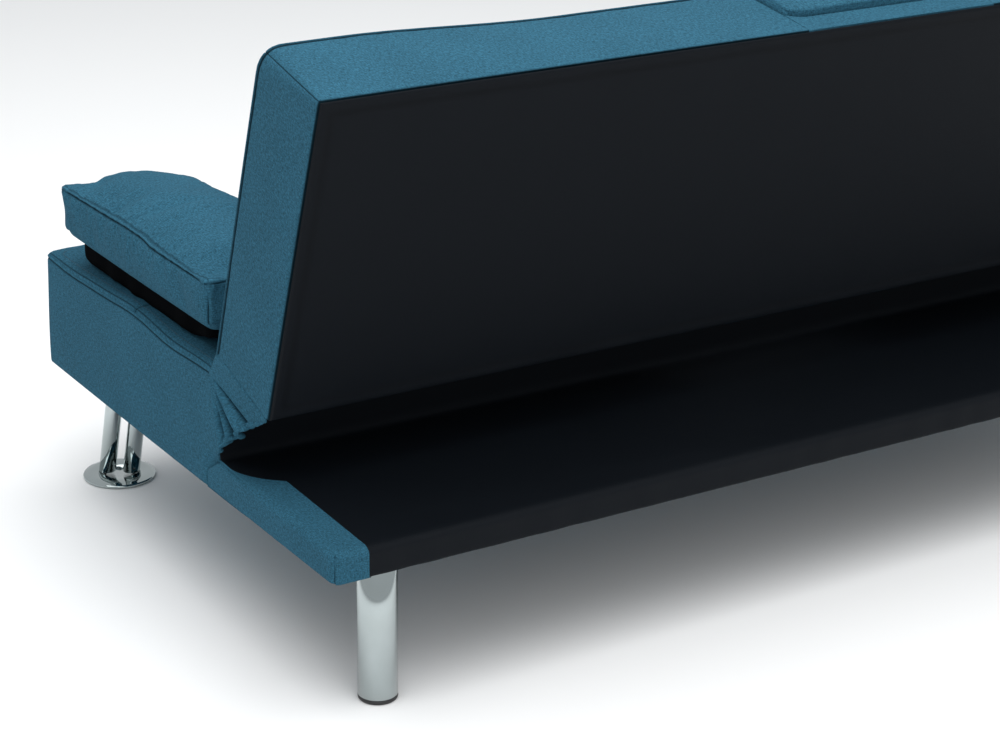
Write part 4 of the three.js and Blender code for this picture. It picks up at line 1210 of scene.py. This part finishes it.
def build_gusset(label, sign):
    """A web between the seat's end and the backrest's: a fan from one apex, its free edge a rolled hem."""
    hem = curve_through(HEM_LINE, HEM_ROWS)
    share, known = np.linspace(0, 1, BACK_ROWS), np.linspace(0, 1, len(BACK_LINE))
    along_back = np.stack([np.interp(share, known, column) for column in np.array(BACK_LINE).T], axis=1)
    outer = np.vstack([along_back, hem])
    t = np.linspace(0.015, 1, GUSSET_COLUMNS)[None, :, None]
    yz = GUSSET_APEX + (outer[:, None] - GUSSET_APEX) * t
    relief = gusset_relief(yz)
    tuck = np.zeros(relief.shape)
    tuck[:BACK_ROWS] = ease(t[..., 0], 0.80, 1.0) * 3.0 * MM
    x = GUSSET_X + relief - tuck + 1.2 * MM * (1 - ease(t[..., 0], 0, 0.35))
    grid = np.concatenate([x[..., None], yz], axis=-1)
    # Shade is painted in the pleats' hollows and along the web's first edge, and a highlight on their ridges.
    shade = np.clip(-relief / (7 * MM), 0, 1) ** 1.3 * 0.85
    edge = np.zeros(relief.shape)
    edge[:2] = 0.9
    raised = np.clip(relief / (4 * MM), 0, 1) * 0.9
    marks = {"seam": np.maximum(shade, edge).ravel(), "painted_highlight": raised.ravel()}
    web = sheet_object(f"gusset_web_{label}", grid, yz.copy(), "blue_fabric", mirror=sign < 0, marks=marks)
    thicken(web, 1.0 * MM)
    along = np.linspace(0, 1, HEM_ROWS)
    lumps = 0.5 + 0.5 * waves(along[:, None], 0.055, 151)
    radii = (1.8 + 1.6 * lumps + 2.8 * line(along - 0.36, 0.045) + 2.4 * line(along - 0.80, 0.05)) * MM
    radii *= ease(along, -0.02, 0.16) * ease(1 - along, -0.02, 0.10)
    path = np.concatenate([x[BACK_ROWS:, -1:] + 0.5 * MM, hem], axis=1)
    roll = tube_object(f"gusset_hem_{label}", path, np.maximum(radii, 0.4 * MM), "blue_fabric", sign < 0)
    free = np.array([0, *(hem[-1] - hem[0])])
    free /= np.linalg.norm(free)
    for piece in (web, roll):
        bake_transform(piece)
    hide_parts(f"gusset_{label}")


# ---- legs and underside

AXIS_HOLE = 0.0005


def turned_on_floor(name, node, profile, look, segments):
    """A turned piece that stands on the floor where a CAD node does."""
    low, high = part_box(node)
    piece = turned_object(name, profile, ((low.x + high.x) / 2, (low.y + high.y) / 2, 0), look, segments)
    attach(piece, "base")
    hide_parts(node)


def build_legs():
    for label in SIDES:
        disc_low, disc_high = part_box(f"front_leg_{label}_disc")
        r, thick = (disc_high.x - disc_low.x) / 2, disc_high.z
        profile = [(AXIS_HOLE, 0), (r - 4 * MM, 0)]
        for angle in np.linspace(-np.pi / 2, np.pi / 2, 11):
            profile.append((r - 3 * MM + 3 * MM * math.cos(angle), 3 * MM + 3 * MM * math.sin(angle)))
        profile += [(r - 5 * MM, thick - 1.2 * MM), (r - 9 * MM, thick - 0.3 * MM), (r - 12 * MM, thick)]
        profile += [(AXIS_HOLE, thick)]
        turned_on_floor(f"front_disc_{label}", f"front_leg_{label}_disc", profile, "chrome", 128)
        for place in ("inner", "outer"):
            tube_piece(f"front_tube_{label}_{place}", f"front_leg_{label}_tube_{place}", 12.5 * MM)
        tube_piece(f"rear_tube_{label}", f"rear_leg_{label}_tube", 25 * MM)
        low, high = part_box(f"rear_leg_{label}_glide")
        r = (high.x - low.x) / 2
        profile = [(AXIS_HOLE, 0), (r - 3 * MM, 0), (r - 1.2 * MM, 0.6 * MM), (r - 0.2 * MM, 2 * MM)]
        profile += [(r, 3.2 * MM), (r, 5.7 * MM), (r - 0.8 * MM, 6.1 * MM), (r - 2.5 * MM, 6.2 * MM)]
        profile += [(r - 2.5 * MM, 20 * MM), (AXIS_HOLE, 20 * MM)]
        turned_on_floor(f"rear_glide_{label}", f"rear_leg_{label}_glide", profile, "black_plastic", 72)


def tube_piece(name, node, radius):
    """A round hollow tube between the middles of a CAD tube's two ends."""
    points = node_points(node)
    low, high = points[:, 2].min(), points[:, 2].max()
    ends = [points[np.abs(points[:, 2] - z) < 1e-5].mean(0) for z in (low, high)]
    wall = 1.5 * MM
    profile = [(radius - wall, 0), (radius - 0.5 * MM, 0), (radius, 0.5 * MM)]
    profile += [(radius, 1 - 0.5 * MM), (radius - 0.5 * MM, 1), (radius - wall, 1)]
    tube = turned_object(name, profile, (0, 0, 0), "chrome", 96)
    shape = np.array([v.co for v in tube.data.vertices])
    height = high - low
    z = np.where(shape[:, 2] > 0.5, height - (1 - shape[:, 2]), shape[:, 2])
    share = (z / height)[:, None]
    shape[:, :2] += ends[0][None, :2] * (1 - share) + ends[1][None, :2] * share
    shape[:, 2] = low + z
    tube.data.vertices.foreach_set("co", shape.astype(np.float32).ravel())
    tube.data.update()
    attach(tube, "base")
    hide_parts(node)


def build_underside():
    low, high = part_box("base_dust_cover")
    margin = UNDERSIDE_MARGIN
    xs = spread_lines(low.x + margin, high.x - margin, 16 * MM)
    ys = spread_lines(low.y + margin, high.y - margin, 16 * MM)
    flat, shape, edge = flat_grid(xs, ys)
    z = low.z + 0.9 * MM + waves(flat, 0.12, 141) * 0.4 * MM * ease(edge, 0, 0.05)
    grid, uv = np.column_stack([flat, z]).reshape(*shape, 3), flat.reshape(*shape, 2)
    cloth = sheet_object("underside_cloth", grid, uv, "black_cloth", body="base")
    thicken(cloth, 0.6 * MM)
    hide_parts("base_dust_cover")


def dress_frame_nodes():
    """Every CAD node that stays gets the look of its slot in the record."""
    slots = {part["node"]: part["material_slot"] for part in frame["record"]["subparts"]}
    for name, node in frame["nodes"].items():
        node.data.materials.clear()
        node.data.materials.append(LOOKS[slots[name]])


def add_floor():
    bpy.ops.mesh.primitive_plane_add(size=24)
    floor = bpy.context.object
    floor.name = "floor"
    floor.data.materials.append(pale_floor())


add_camera()
add_studio()
dress_frame_nodes()
build_seat()
build_arms()
for label, sign in SIDES.items():
    build_back_half(label, sign)
    build_wrap(label, sign)
    build_gusset(label, sign)
build_back_strip()
build_back_panel()
build_console()
build_shelf_cloth()
build_legs()
build_underside()
add_floor()
